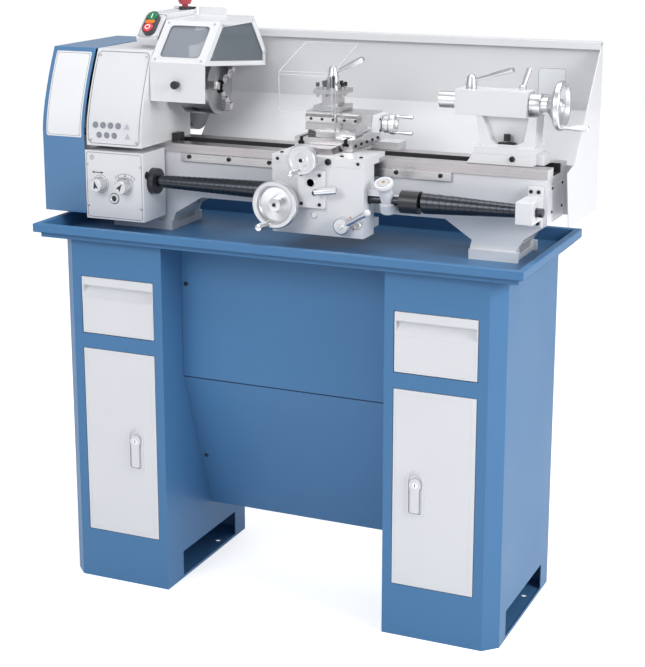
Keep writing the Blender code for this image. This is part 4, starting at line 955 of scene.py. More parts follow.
# %% Panel screws
UPPER_Z, LOWER_Z, PANEL_RUN = 711, 275, 129.0
upper = [(at(s * (panel_right - 12), panel_face, UPPER_Z), FORWARD) for s in (-1, 1)]
screws("upper_panel_screws", upper, "upper_rear_panel", 11, BLACK_OXIDE, CROSS)
_, (fold_y, _), (foot_z, fold_z) = span("lower_rear_panel")
slope = Vector((0, -(fold_z - foot_z), -PANEL_RUN)).normalized()
slide = (fold_z - LOWER_Z) / (fold_z - foot_z)
lower = [(at(s * (panel_right - 14), fold_y + PANEL_RUN * slide, LOWER_Z), slope) for s in (-1, 1)]
screws("lower_panel_screws", lower, "lower_rear_panel", 11, BLACK_OXIDE, CROSS)
tell("Panel screws")

# %% [markdown]
# ## The bed
# The bed is one casting. Its ways are ground bright on top and down both sides, and the
# rest is painted, so the softened copy takes its finish from how high a face lies. The
# casting between the ways is painted dark, as painted shade in the gap there.

# %% Bed
(bed_x0, bed_x1), (bed_y0, bed_y1), (_, bed_top) = span("bed")
WAY_DEPTH, WAY_WIDTH, BRIDGE_Z = 19.5, 38, 905


def bed_finish(place, normal):
    # Painted shade: the walls and floor of the gap between the ways take the dark finish.
    between = bed_y0 + WAY_WIDTH < place.y < bed_y1 - WAY_WIDTH and abs(place.x) < bed_x1 - 4
    if between and place.z > BRIDGE_Z and (abs(normal.y) > 0.7 or place.z < bed_top - 1):
        return 2
    return 1 if place.z > bed_top - WAY_DEPTH and abs(normal.x) < 0.9 else 0


soften("bed", [WHITE, WAY_STEEL, WAY_GAP_SHADE], 1.8, bed_finish, segments=3)
print("bed length", round(bed_x1 - bed_x0), "mm")

# %% [markdown]
# ## Way stop
# A small black block closes the space between the ways next to the headstock. It is a
# rounded plate with some height, as its top is all that shows.

# %% Way stop by the headstock
way_stop = plate([rounded(18, 27, 2)], 23, top_at(-327, 18.5, 1013))
keep(way_stop, "way_stop", BLACK, "bed", soft_edge=0.8)
tell("Way stop by the headstock")

# %% [markdown]
# ## Rack
# The rack is a bar below the front way, held by cap screws. Its screws are spaced by a loop
# from the bar's own length.

# %% Rack
(rack_x0, rack_x1), (rack_y0, _), (rack_z0, rack_z1) = span("rack")
soften("rack", SLIDE_STEEL, 0.5)
SCREW_STEP = 100
rack_screws = [(at(rack_x0 + 22 + SCREW_STEP * i, rack_y0, (rack_z0 + rack_z1) / 2 + 2), FORWARD)
               for i in range(int((rack_x1 - rack_x0) // SCREW_STEP) + 1)]
screws("rack_screws", rack_screws, "rack", 9.5)
tell("Rack")

# %% [markdown]
# ## Bed end
# The bed's right end is closed by a cover plate, and each way by a small cap. They are flat
# pieces with softened rims, fixed by screws that are set as one family.

# %% Bed end
END_Y, END_Z, SIDEWAYS = 34.5, 952, ((0, 1, 0), (0, 0, 1))
CORNERS = [(s, t) for s in (-1, 1) for t in (-1, 1)]
end_cover = plate([rounded(88, 62, 4)], 1.6, face_frame(at(bed_x1, END_Y, END_Z), *SIDEWAYS))
keep(end_cover, "bed_end_cover", WHITE, "bed", soft_edge=0.5)
end_screws = [(at(bed_x1 + 1.6, END_Y + s * 38, END_Z + t * 25), RIGHTWARD) for s, t in CORNERS]
screws("bed_end_screws", end_screws, "bed", 6)
cap_z = bed_top - 9.5
for way_y in (bed_y0 + 20, bed_y1 - 20):
    cap = plate([rounded(37, 17, 2)], 1.2, face_frame(at(bed_x1, way_y, cap_z), *SIDEWAYS))
    keep(cap, "way_cap_%d" % way_y, WHITE, "bed", soft_edge=0.4)
    cap_screws = [(at(bed_x1 + 1.2, way_y + s * 11, cap_z), RIGHTWARD) for s in (-1, 1)]
    screws("way_cap_screw_%d" % way_y, cap_screws, "bed", 5, SATIN, CROSS)
tell("Bed end")

# %% [markdown]
# ## The headstock end
# The headstock and the feed gearbox are white castings with a thin front plate each. The
# plate is shown by the dark line round it and a screw in each corner; what was printed on
# it is left out.

# %% Headstock
(head_x0, _), (front_y, _), (head_z0, head_z1) = span("headstock")
cover_top = span("gear_cover")[2][1]
COVER_BEND, COVER_LEAN, STRIP = 1050.0, 62.0, 12


def cover_y(z):
    """How far back the leaning front lies at a height."""
    t = max(0.0, (z - COVER_BEND) / (cover_top - COVER_BEND))
    return front_y + COVER_LEAN * t ** 1.45


def cover_strip(name, outlines, x, z_middle, node, finish, lift):
    """A printed line or a thin plate that follows the leaning front."""
    mesh = plate(outlines, 0.3, Matrix.Identity(4))
    bm = bmesh.new()
    bm.from_mesh(mesh)
    for z in range(int(COVER_BEND), int(cover_top), STRIP):
        whole = bm.verts[:] + bm.edges[:] + bm.faces[:]
        level = (z - z_middle) * MM
        bmesh.ops.bisect_plane(bm, geom=whole, plane_co=(0, level, 0), plane_no=(0, 1, 0))
    for vert in bm.verts:
        u, v, w = vert.co / MM
        vert.co = at(x + u, cover_y(z_middle + v) - lift - w, z_middle + v)
    bmesh.ops.recalc_face_normals(bm, faces=bm.faces)
    bm.to_mesh(mesh)
    bm.free()
    return keep(mesh, name, finish, node)


def cover_normal(z):
    rise = cover_y(z + 2) - cover_y(z - 2)
    return Vector((0, -4, rise)).normalized()


soften("headstock", WHITE, 2.2, segments=3)
head_mid = (head_z0 + cover_top) / 2
HEAD_RIGHT = -338.0
head_front_w, head_front_h = HEAD_RIGHT - head_x0 - 8, cover_top - head_z0 - 10
head_front_x = (HEAD_RIGHT + head_x0) / 2
edge = faceted(head_front_w, head_front_h, 7)
cover_strip("head_plate_line", [edge, inset(edge, 1.1)], head_front_x, head_mid, "headstock", GREY_INK, 0.15)
head_screws = [(at(head_front_x + s * (head_front_w / 2 - 7), cover_y(z) - 0.1, z), cover_normal(z))
               for s in (-1, 1) for z in (head_z0 + 12, cover_top - 14)]
screws("head_plate_screws", head_screws, "headstock", 6.5, CUT_STEEL, CROSS)
tell("Headstock")

# %% [markdown]
# ## Foot of the control box
# The control box stands on a short foot on top of the headstock. A rounded plate gives it,
# since only its rim can be seen.

# %% Foot of the control box
foot = plate([rounded(36, 26, 7)], 10, top_at(-382, -14, head_z1 - 0.5))
keep(foot, "control_box_foot", SATIN, "headstock", soft_edge=0.8)
tell("Foot of the control box")

# %% [markdown]
# ## Bare stickers
# The stickers stay at their places and sizes, with nothing on them. They follow the leaning
# front in the same way as the line round the cover.

# %% Bare stickers on the headstock
STICKER_STEP, ROUND, CORNERED = 19.5, disc(7.2, steps=24), [(-7.5, -6.2), (7.5, -6.2), (0.0, 6.8)]
STICKER_ROWS = ((4, -455.0, -374.0, 1066.0), (3, -445.0, -372.0, 1044.0))
for row, (count, start_x, last_x, z) in enumerate(STICKER_ROWS):
    for i in range(count):
        x = start_x + STICKER_STEP * i
        cover_strip("sticker_round_%d_%d" % (row, i), [ROUND], x, z, "headstock", LABEL, 0.05)
    cover_strip("sticker_corner_%d" % row, [CORNERED], last_x, z, "headstock", LABEL_PALE, 0.05)
tell("Bare stickers on the headstock")

# %% [markdown]
# ## Gear cover
# The blue cover swings open on the left. It is glossier than the stand. The plate on its
# front carried charts; here it is bare, with a thin line and four rivets.

# %% Gear cover and its bare plate
COVER_BLUE = paint("Gloss blue cover", (0.080, 0.210, 0.400), 0.34, 0.35, 0.08, 0.5)
soften("gear_cover", COVER_BLUE, 2.4, segments=3)
plate_w, plate_h, plate_z = 92.0, 186.0, 1128.0
case_x = sum(span("gear_cover")[0]) / 2 + 2
edge = rounded(plate_w, plate_h, 4)
cover_strip("case_plate", [edge], case_x, plate_z, "gear_cover", PANEL_WHITE, 0.25)
line = [inset(edge, 3), inset(edge, 3.8)]
cover_strip("case_plate_line", line, case_x, plate_z, "gear_cover", GREY_INK, 0.45)
corners = [(at(case_x + s * (plate_w / 2 - 6), cover_y(z) - 0.5, z), cover_normal(z))
           for s in (-1, 1) for z in (plate_z - plate_h / 2 + 6, plate_z + plate_h / 2 - 6)]
screws("case_plate_rivets", corners, "gear_cover", 4.5, SATIN, CROSS)
tell("Gear cover and its bare plate")

# %% [markdown]
# ## Feed gearbox
# A plain white box with a thin front plate, an oil sight and the black collar of the
# leadscrew. The collar belongs to the same solid, so a face takes black by how far right
# it lies.

# %% Feed gearbox
(box_x0, _), (box_y0, _), (box_z0, box_z1) = span("feed_gearbox")
BOX_X1 = -335.0
SCREW_AXIS_Y = sum(span("leadscrew")[1]) / 2
SCREW_AXIS_Z = sum(span("leadscrew")[2]) / 2


def gearbox_finish(place, normal):
    return 1 if place.x > BOX_X1 + 1 else 0


soften("feed_gearbox", [WHITE, BLACK], 2.0, gearbox_finish, segments=3)
box_mid = ((box_x0 + BOX_X1) / 2, (box_z0 + box_z1) / 2)
edge = faceted(BOX_X1 - box_x0 - 7, box_z1 - box_z0 - 8, 4)
line_frame("gearbox_line", edge, 1.1, front_at(box_mid[0], box_y0, box_mid[1]), "feed_gearbox")
box_screws = [(at(box_mid[0] + s * 69, box_y0, box_mid[1] + t * 47), FORWARD) for s, t in CORNERS]
screws("gearbox_screws", box_screws, "feed_gearbox", 6.5, CUT_STEEL, CROSS)
SIGHT = (-410.6, box_y0, 901.7)
ring = [(0, 1.2), (6.2, 1.2), (7.0, 2.2), (10.4, 2.0), (11.4, 1.2), (11.4, -0.5)]
keep(turned(ring, at(*SIGHT), FORWARD), "gearbox_sight_ring", SATIN, "feed_gearbox")
lens = turned([(0, 1.5), (6.0, 1.4), (6.0, 0.6)], at(*SIGHT), FORWARD)
keep(lens, "gearbox_sight_lens", BLACK, "feed_gearbox")
seal = plate([disc(12.6, steps=48), disc(11.2, steps=48)], 0.4, front_at(*SIGHT))
keep(seal, "gearbox_sight_seal", INK, "feed_gearbox")
spot = plate([disc(6.4, steps=24)], 0.2, front_at(-466.0, box_y0, 992.3))
keep(spot, "gearbox_round_sticker", LABEL_PALE, "feed_gearbox")
plug = turned([(0, 1.5), (7.5, 1.5), (9.0, 0.8), (9.0, -0.6)], at(BOX_X1, -117, 957.0), RIGHTWARD)
keep(plug, "gearbox_side_plug", BLACK, "feed_gearbox")
tell("Feed gearbox")

# %% [markdown]
# ## Selector knobs
# Two turned knobs choose the feed. Each has a dark pointer on its face, and a curved band
# with three letters stands over the right one. The band is an outline made of two arcs. A
# two-way arrow marks the left one.

# %% Selector knobs
ARROW = [(-6.0, -8.0), (0, -5.0), (6.0, -8.0), (0, 10.5)]
for name, pointer in (("feed_direction_knob", 12.0), ("feed_range_knob", -38.0)):
    (x0, x1), (y0, _), (z0, z1) = span(name)
    x, z = (x0 + x1) / 2, (z0 + z1) / 2
    depth = box_y0 - y0
    body = turned([(0, depth), (14.4, depth), (15.0, depth - 0.7), (15.6, 8), (16.5, 6.5), (16.5, 0.4)],
                  at(x, box_y0, z), FORWARD)
    keep(body, name + "_body", CHROME, name, (name,), 0.3)
    turn = Matrix.Rotation(math.radians(pointer), 4, "Z")
    keep(plate([ARROW], 0.25, front_at(x, y0, z) @ turn), name + "_arrow", INK, name)
    skirt = plate([disc(20.5, steps=48), disc(19.6, steps=48)], 0.15, front_at(x, box_y0, z))
    keep(skirt, name + "_ring_line", GREY_INK, "feed_gearbox")
RANGE_X, RANGE_Z, LETTER_ARC = sum(span("feed_range_knob")[0]) / 2, 921.0, 33.6
range_band = arc_points(39.0, 48, 132) + arc_points(28.5, 132, 48)
line_frame("range_band", range_band, 0.8, front_at(RANGE_X, box_y0, RANGE_Z), "feed_gearbox", INK)
for letter, degrees in (("A", 120), ("B", 90), ("C", 60)):
    angle = math.radians(degrees)
    spot = (RANGE_X + LETTER_ARC * math.cos(angle), RANGE_Z + LETTER_ARC * math.sin(angle))
    words("range_" + letter, letter, 8.0, front_at(spot[0], box_y0, spot[1]), "feed_gearbox")
two_way = [(-15, 0), (-9, 3.2), (-9, 1), (9, 1), (9, 3.2), (15, 0), (9, -3.2), (9, -1), (-9, -1), (-9, -3.2)]
flat_patch("direction_sign", two_way, front_at(-452.0, box_y0, 958.5), "feed_gearbox", INK, 0.12)
tell("Selector knobs")

# %% [markdown]
# ## The control box
# The box has a sloping front, so its buttons and lines are laid on a frame of their own.
# Two points, at the foot and at the head of the slope, give that frame.

# %% Control box
(cb_x0, cb_x1), _, _ = span("control_box")
SLOPE_LOW, SLOPE_HIGH = Vector((-40.0, 1254.0)), Vector((10.0, 1305.0))
slope_up = (SLOPE_HIGH - SLOPE_LOW).normalized()
slope_out = Vector((-slope_up.y, slope_up.x))
UP_SLOPE = Vector((0, slope_up.x, slope_up.y))


def on_slope(x, along, out=0.0):
    spot = SLOPE_LOW + slope_up * along + slope_out * out
    return face_frame(at(x, spot.x, spot.y), (1, 0, 0), UP_SLOPE)


stop_x, stop_y = (sum(limits) / 2 for limits in span("emergency_stop")[:2])
COLLAR_R = 15.2


def control_box_finish(place, normal):
    on_collar = math.hypot(place.x - stop_x, place.y - stop_y) < COLLAR_R
    return 1 if on_collar and place.z > SLOPE_HIGH.y + 1.4 else 0


soften("control_box", [WHITE, BLACK], 1.8, control_box_finish, segments=3)
slope_length = (SLOPE_HIGH - SLOPE_LOW).length
box_middle = (cb_x0 + cb_x1) / 2
edge = faceted(cb_x1 - cb_x0 - 6, slope_length - 6, 4)
line_frame("control_line", edge, 0.8, on_slope(box_middle, slope_length / 2), "control_box")
face_out = on_slope(0, 0).to_3x3() @ UPWARD
control_screws = [(on_slope(box_middle + s * 23, a).translation, face_out)
                  for s in (-1, 1) for a in (6, slope_length - 6)]
screws("control_screws", control_screws, "control_box", 5, CUT_STEEL, CROSS)
soften("button_station", STATION_GREY, 1.2, segments=3)
station_x = sum(span("button_station")[0]) / 2
GREEN_AT, RED_AT, STATION_FACE, CAP_FACE = 52.0, 20.0, 13.0, 15.0
for name, along, finish in (("start_button", GREEN_AT, GREEN), ("stop_button", RED_AT, RED)):
    cap = turned([(0, 15.0), (10.8, 15.0), (12.0, 14.2), (12.2, 13.0), (12.2, 10.8)],
                 on_slope(station_x, along).translation, face_out)
    keep(cap, name + "_cap", finish, name, (name,))
stroke = plate([rounded(2.6, 12.5, 0.8)], 0.25, on_slope(station_x, GREEN_AT, CAP_FACE))
keep(stroke, "start_sign", MARK_WHITE, "start_button")
circle = plate([disc(6.8), disc(4.4)], 0.25, on_slope(station_x, RED_AT, CAP_FACE))
keep(circle, "stop_sign", MARK_WHITE, "stop_button")
lens = plate([rounded(23, 9.0, 1.5)], 1.4, on_slope(station_x, (GREEN_AT + RED_AT) / 2, STATION_FACE))
keep(lens, "power_lamp", ORANGE, "button_station", soft_edge=0.5)
tell("Control box")

# %% [markdown]
# ## Emergency stop
# The mushroom head is a turned shape: a domed cap, a waist and a stem. One profile spun
# round its axis gives all of it.

# %% Emergency stop
stop = turned([(0, 33), (11, 32.4), (14.5, 30), (15.5, 26), (15.5, 20), (14.6, 17), (13.2, 14.5),
               (13.0, 13.0), (7, 12.9), (7, 6)], at(stop_x, stop_y, SLOPE_HIGH.y + 1), UPWARD, 48)
keep(stop, "emergency_stop_head", STOP_RED, "emergency_stop", ("emergency_stop",))
tell("Emergency stop")

# %% [markdown]
# ## Chuck guard
# The hood is bent sheet with a window in its leaning front and another in its side. The
# windows are screwed on from inside, so four small heads show at the corners.

# %% Guard
KNOB_X, KNOB_Z = -268, 1160


def guard_finish(place, normal):
    """Black where the knob stands out of the white sheet."""
    at_knob = place.z < KNOB_Z + 15 and abs(place.x - KNOB_X) < 12
    return 1 if place.y < -92.5 or (place.y < -90.6 and at_knob) else 0


soften("chuck_guard", [WHITE, BLACK], 1.0, guard_finish)
(guard_x0, guard_x1), _, _ = span("chuck_guard")
# The side pane gets the darker copy of the window: painted shade.
for side, finish in (("front", WINDOW), ("side", SHADED_SIDE_WINDOW)):
    soften("guard_%s_window" % side, finish, 0.0, name="guard_%s_pane" % side)
BEND_LOW, BEND_HIGH = Vector((-88.0, 1207.0)), Vector((-8.0, 1293.0))
lean = (BEND_HIGH - BEND_LOW).normalized()
lean_out = Vector((0, -lean.y, lean.x))
lean_length = (BEND_HIGH - BEND_LOW).length
window_middle = BEND_LOW + lean * lean_length / 2
window_place = face_frame(at((guard_x0 + guard_x1) / 2, *window_middle), (1, 0, 0), (0, lean.x, lean.y))
opening = rounded(guard_x1 - guard_x0 - 38, lean_length - 30, 9)
rim = plate([rounded(guard_x1 - guard_x0 - 32, lean_length - 24, 4), opening], 0.5, window_place)
keep(rim, "guard_window_rim", WHITE, "chuck_guard")
gasket = plate([opening, inset(opening, 1.0)], 0.7, window_place)
keep(gasket, "guard_window_gasket", GREY_INK, "chuck_guard")
rivets = []
for x in (guard_x0 + 11, guard_x1 - 11):
    for along in (8, lean_length - 8):
        spot = BEND_LOW + lean * along
        rivets.append((at(x, spot.x - lean.y * 0.1, spot.y + lean.x * 0.1), lean_out))
screws("guard_rivets", rivets, "chuck_guard", 6, CUT_STEEL, CROSS)
knob = turned([(0, 13.5), (6.5, 13.5), (8.8, 12.2), (9.3, 9.5), (8.4, 7), (5.4, 4.5), (5.0, 1.5),
               (6.8, 0.2), (6.8, -0.5)], at(KNOB_X, -90.4, KNOB_Z), FORWARD)
keep(knob, "guard_knob", BLACK, "chuck_guard")
side_screws = [(at(guard_x1, y, z), RIGHTWARD) for y, z in ((2, 1286), (150, 1286), (209, 1205))]
screws("guard_side_screws", side_screws, "chuck_guard", 5, CUT_STEEL, CROSS)
tell("Guard")

# %% [markdown]
# ## Spindle, chuck and drive
# The chuck is turned and ground, and its three jaws slide in slots in its face. The drive
# behind the blue cover only shows when that cover swings open.

# %% Chuck
soften("chuck_body", CHUCK_STEEL, 0.9, angle=28)
for k in (1, 2, 3):
    soften("chuck_jaw_%d" % k, SLIDE_STEEL, 0.6)
for node, finish, width in (("spindle", SATIN, 0.4), ("motor_pulley", CUT_STEEL, 0.4),
                            ("idler_gear", CUT_STEEL, 0.3), ("drive_belt", RUBBER, 0.4),
                            ("motor", MOTOR_GREY, 1.2)):
    soften(node, finish, width)
tell("Chuck")

# %% [markdown]
# ## Leadscrew and its covers
# Each cover is a steel band wound into a cone. As the carriage moves, the windings slide
# over each other.

# %% Leadscrew
soften("leadscrew", DARK_STEEL, 0.4)
soften("leadscrew_bracket", WHITE, 1.6)
BRACKET_FLANGE_Y = -42.0
bracket_screws = [(at(x, BRACKET_FLANGE_Y, SCREW_AXIS_Z + rise), FORWARD)
                  for rise in (33, -33) for x in (530, 546)]
screws("bracket_screws", bracket_screws, "leadscrew_bracket", 8)


def wound_cover(name, x_start, x_end, r_start, r_end, turns, node):
    """A wound steel band: each turn starts a little proud of the one before it."""
    sides, pitch = 40, (x_end - x_start) / turns
    bm = bmesh.new()
    previous = None
    for i in range(turns * sides + 1):
        t = i / (turns * sides)
        angle = 2 * math.pi * i / sides
        radius = r_start + (r_end - r_start) * t
        ring = []
        for along, lift in ((0.0, 0.0), (0.05, 0.5), (0.6, 0.4), (1.0, 0.0)):
            r = radius + lift
            x = x_start + pitch * (i / sides + along) * (1 - 0.5 / turns)
            y, z = SCREW_AXIS_Y + r * math.cos(angle), SCREW_AXIS_Z + r * math.sin(angle)
            ring.append(bm.verts.new(at(x, y, z)))
        if previous:
            for j in range(3):
                bm.faces.new((previous[j], previous[j + 1], ring[j + 1], ring[j]))
        previous = ring
    bmesh.ops.recalc_face_normals(bm, faces=bm.faces)
    middle = at((x_start + x_end) / 2, SCREW_AXIS_Y, SCREW_AXIS_Z)
    sample = bm.faces[:][len(bm.faces) // 2]
    away = sample.calc_center_median() - middle
    away.x = 0
    if sample.normal.dot(away) < 0:
        bmesh.ops.reverse_faces(bm, faces=bm.faces)
    mesh = bpy.data.meshes.new(name)
    bm.to_mesh(mesh)
    bm.free()
    piece = bpy.data.objects.new(name, mesh)
    IN_SCENE.link(piece)
    mesh.materials.append(DARK_STEEL)
    shade_by_angle(mesh, 20)
    wall = piece.modifiers.new("Wall", "SOLIDIFY")
    wall.thickness, wall.offset = 0.0005, -1.0
    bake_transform(piece)
    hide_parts(node)
    MADE.append(name)
    return piece


(left_x0, left_x1), _, _ = span("left_screw_cover")
(right_x0, right_x1), _, _ = span("right_screw_cover")
wound_cover("left_cover_band", left_x0, left_x1, 13.6, 20.2, 21, "left_screw_cover")
wound_cover("right_cover_band", right_x0, right_x1, 22.0, 13.6, 15, "right_screw_cover")
tell("Leadscrew")

# %% [markdown]
# ## Splash guard
# One bent sheet with a rolled top lip. It only needs its folds softened. The chart that
# hung on it is left bare, with a thin line round it.

# %% Splash guard
soften("splash_guard", WHITE, 1.0)
SPLASH_FACE = span("splash_guard")[1][1] - 2.2
CHART_X, CHART_Z = 490, 1168
CHART_GREY = paint("Bare chart", (0.80, 0.82, 0.84), 0.5, 0.0, 0.02)
chart = plate([rounded(66, 63, 4)], 0.3, front_at(CHART_X, SPLASH_FACE, CHART_Z))
keep(chart, "chart_sticker", CHART_GREY, "splash_guard")
chart_front = front_at(CHART_X, SPLASH_FACE - 0.3, CHART_Z)
line_frame("chart_line", rounded(62, 59, 3), 0.8, chart_front, "splash_guard")
tell("Splash guard")

# %% [markdown]
# ## Carriage
# The saddle and apron are white castings; the slides that ride on them are ground steel.

# %% Saddle and apron
front = span("saddle")[1][0]
CROSS_X, SADDLE_TOP, SCREW_COLLAR_X = 66, 1029.6, 262.8


def saddle_finish(place, normal):
    return 1 if abs(place.x - CROSS_X) < 45 and place.z > SADDLE_TOP else 0


def apron_finish(place, normal):
    return 1 if place.x > SCREW_COLLAR_X else 0


soften("saddle", [WHITE, WAY_STEEL], 1.8, saddle_finish, segments=3)
soften("apron", [WHITE, BLACK], 1.6, apron_finish, segments=3)
BLOCK_FRONT, EDGE_Z = front - 14, 1019.5
block_screws = [(at(x, BLOCK_FRONT, z), FORWARD) for x in (54, 96) for z in (929, 992)]
screws("apron_block_screws", block_screws, "apron", 7.5)
BORE = [(0, -1.5), (7.5, -1.5), (8.6, 0.6), (9.6, 0.8), (10.4, 0)]
DOT = [(0, 0.6), (5.5, 0.6), (6.0, 0.0)]
PLUG = [(0, 1.6), (6, 1.6), (7.5, 0.6), (7.5, -0.5)]
OIL_RING = [(0, 0.9), (4.6, 0.9), (5.2, 2.2), (7.6, 2.0), (8.3, 1.0), (8.3, -0.4)]
OIL_LENS = [(0, 1.3), (4.5, 1.3), (4.5, 0.4)]
for name, profile, place, finish in (("block_bore", BORE, (75, BLOCK_FRONT, 975), SATIN),
                                     ("index_dot", DOT, (84, BLOCK_FRONT, 953), INK),
                                     ("plug", PLUG, (78, front, 903), SATIN),
                                     ("oil_sight", OIL_RING, (177, front, 887), SATIN),
                                     ("oil_lens", OIL_LENS, (177, front, 887), LENS)):
    keep(turned(profile, at(*place), FORWARD), "apron_" + name, finish, "apron")
screws("saddle_front_screws", [(at(x, front, EDGE_Z), FORWARD) for x in (-8, 178)], "saddle", 7)
screws("saddle_lock_screw", [(at(110, front, EDGE_Z), FORWARD)], "saddle", 14)
screws("saddle_top_screws", [(at(x, front + 22, 1029), UPWARD) for x in (-8, 132, 176)], "saddle", 8)
tell("Saddle and apron")

# %% [markdown]
# ## Machine handles
# Every wheel on the machine has the same kind of handle: a waist near the wheel, a swell for
# the palm and a rounded end. One profile in proportions serves them all. The red arc round
# the half-nut lever is a flat outline.

# %% Machine handles
HUB_X, HUB_Z = 147, 887
red_arc = arc_points(23.5, -28, 57, 17) + arc_points(21.6, 57, -28, 17)
flat_patch("half_nut_scale", red_arc, front_at(HUB_X, front, HUB_Z), "apron", RED_INK, 0.12)


def handle(name, base, direction, length, thick, node, finish=CHROME):
    """A turned machine handle: a waist, a swell and a rounded end."""
    swell = ((0.9, 0.96), (1.0, 0.84), (0.97, 0.62), (0.74, 0.3), (0.62, 0.12), (0.8, 0.06), (0.8, 0))
    profile = [(0, length), (thick * 0.55, length - 0.4)] + [(thick * r, length * h) for r, h in swell]
    return keep(turned(profile, base, direction, 32), name, finish, node)
tell("Machine handles")

# %% [markdown]
# ## Carriage handwheel
# A dished wheel with a bright rim. Spokes would need their own pieces, but this wheel is
# solid, so one profile can follow the dish, the rim and the hub.

# %% Carriage handwheel
WHEEL_X, WHEEL_Z, wheel, wheel_face = 4.0, 927.0, "carriage_handwheel", front - 42.5
wheel_centre = at(WHEEL_X, wheel_face, WHEEL_Z)
rim = turned([(0, 3.0), (6, 3.0), (7, 2), (13.5, 1.2), (14.5, -1.0), (15, -12.5), (36, -8.5), (39, -5),
              (40.5, 2.5), (42.5, 4.2), (49.5, 4.2), (51.6, 2.4), (52, 0), (52, -9), (50.5, -12.6),
              (42, -14), (22, -23), (13, -30), (13, -41.5), (0, -41.5)], wheel_centre, FORWARD, 72)
keep(rim, "carriage_wheel", CHROME, wheel, (wheel,), angle=25)
nut = turned([(0, 5.2), (3.4, 5.2), (4.2, 4.4), (4.2, 2.8)], wheel_centre, FORWARD, 24)
keep(nut, "carriage_wheel_screw", BLACK_OXIDE, wheel)
handle("carriage_wheel_grip", at(WHEEL_X - 14, wheel_face - 3.5, WHEEL_Z - 41), FORWARD, 50, 8.0, wheel)
collar = turned([(20, -24), (26, -24.5), (27, -26), (27, -36), (26, -37.5), (14, -37.5)],
                wheel_centre, FORWARD, 64)
keep(collar, "carriage_dial", SATIN, wheel)
marks("carriage_dial_marks", at(WHEEL_X, wheel_face + 29, WHEEL_Z), FORWARD, wheel, 50, 27, 2.6)
tell("Carriage handwheel")

# %% [markdown]
# ## Levers on the apron
# The half-nut lever is a drum with a slim arm and a white ball; the feed lever is a short
# barrel. Both are turned pieces joined by a bar.

# %% Levers on the apron
hub = turned([(0, 21), (5, 21), (6, 20), (15.5, 20), (18, 18), (18.5, 15), (18.5, 0.3)],
             at(HUB_X, front, HUB_Z), FORWARD, 56)
keep(hub, "half_nut_hub", SATIN, "half_nut_lever", ("half_nut_lever",))
arm_start = at(155, front - 13, 890)
arm_end = at(211, front - 29, 923)
arm = bar([arm_start, arm_start.lerp(arm_end, 0.5), arm_end], 5, 20, (6.6, 5.6, 6.8))
keep(arm, "half_nut_arm", SATIN, "half_nut_lever", angle=50)
ball = turned_ball(7.9, 7.6, arm_end, arm_end - arm_start)
keep(ball, "half_nut_ball", WHITE, "half_nut_lever")
hub = turned([(0, 24), (7.6, 24), (9, 22.6), (9, 0.4)], at(122, front, 962), FORWARD, 40)
keep(hub, "feed_lever_hub", SATIN, "feed_lever", ("feed_lever",))
lever_end, lever_start = at(92, front - 33, 959), at(136, front - 19, 964)
grip = bar([lever_end, lever_end.lerp(lever_start, 0.35), lever_start], 8, 24, (7.0, 8.2, 8.5))
keep(grip, "feed_lever_grip", CHROME, "feed_lever", angle=50)
tell("Levers on the apron")

# %% [markdown]
# ## Cross-slide handwheel
# A drum with a flat face and a dial ring behind it. The dial's lines come from the ring tree,
# so they turn with the wheel.

# %% Cross-slide handwheel
cross_x, cross_z, wheel, wheel_front = 66.0, 1026.5, "cross_slide_handwheel", front - 41
drum = turned([(0, 2.4), (4.5, 2.4), (5.5, 1.0), (14, 0.6), (15, -0.6), (24, -0.6), (25, 0.6), (30, 0.6),
               (31.6, -0.8), (32, -2.2), (32, -14.5), (31, -16.5), (22.5, -17.5), (22.2, -19), (22.2, -31),
               (19.5, -32), (19.5, -39.5)], at(cross_x, wheel_front, cross_z), FORWARD, 64)
keep(drum, "cross_wheel", SATIN, wheel, (wheel,), angle=25)
marks("cross_dial_marks", at(cross_x, wheel_front + 22, cross_z), FORWARD, wheel, 80, 22.2, 2.4)
screws("cross_wheel_screw", [(at(cross_x, wheel_front - 2.2, cross_z), FORWARD)], wheel, 8)
handle("cross_wheel_grip", at(cross_x - 8, wheel_front - 0.4, cross_z - 23), FORWARD, 41, 6.0, wheel)
tell("Cross-slide handwheel")

# %% [markdown]
# ## Thread dial
# The dial leans on an arm to the right of the apron. Its lines lie on its flat face, so the
# ring tree is asked for flat marks.

# %% Thread dial
dial_axis = Vector((-2, -35, 66)).normalized()
dial_base = at(233, -80, 920) + dial_axis * 72 * MM
soften("thread_dial", SATIN, 0.4)
dial_face = dial_base + dial_axis * 0.0001
marks("thread_dial_marks", dial_face, dial_axis, "thread_dial", 16, 11.5, 2.6, 4, 0.6, True)
pin = turned([(0, 1.2), (3.2, 1.2), (4, 0.4), (4, -0.4)], dial_base, dial_axis, 24)
keep(pin, "thread_dial_screw", BRASS, "thread_dial")
screws("dial_clamp_screw", [(at(232, -103, 955.5), FORWARD)], "apron", 8)
tell("Thread dial")

# %% [markdown]
# ## Cross slide
# A plain ground slide with a row of gib screws along its right side. Its bevel stays under
# a millimetre, so that its corners still look machined.

# %% Cross slide
(_, slide_x1), (slide_y0, _), (slide_z0, _) = span("cross_slide")
soften("cross_slide", SLIDE_STEEL, 0.9)
gib_screws = [(at(slide_x1, slide_y0 + 18 + 32 * i, slide_z0 + 12), RIGHTWARD) for i in range(5)]
screws("gib_screws", gib_screws, "cross_slide", 6.5)
tell("Cross slide")

# %% [markdown]
# ## Compound and top slide
# The top slide turns on a round base with a degree scale, and its end bracket is painted.
# The wheel at its end has two thin handles.

# %% Compound and top slide
soften("compound_base", SLIDE_STEEL, 1.0)
(top_x0, _), (top_y0, _), _ = span("top_slide")
TOP_X1, AXIS_Y, AXIS_Z, wheel = 167.0, 8, 1087.5, "top_slide_handwheel"


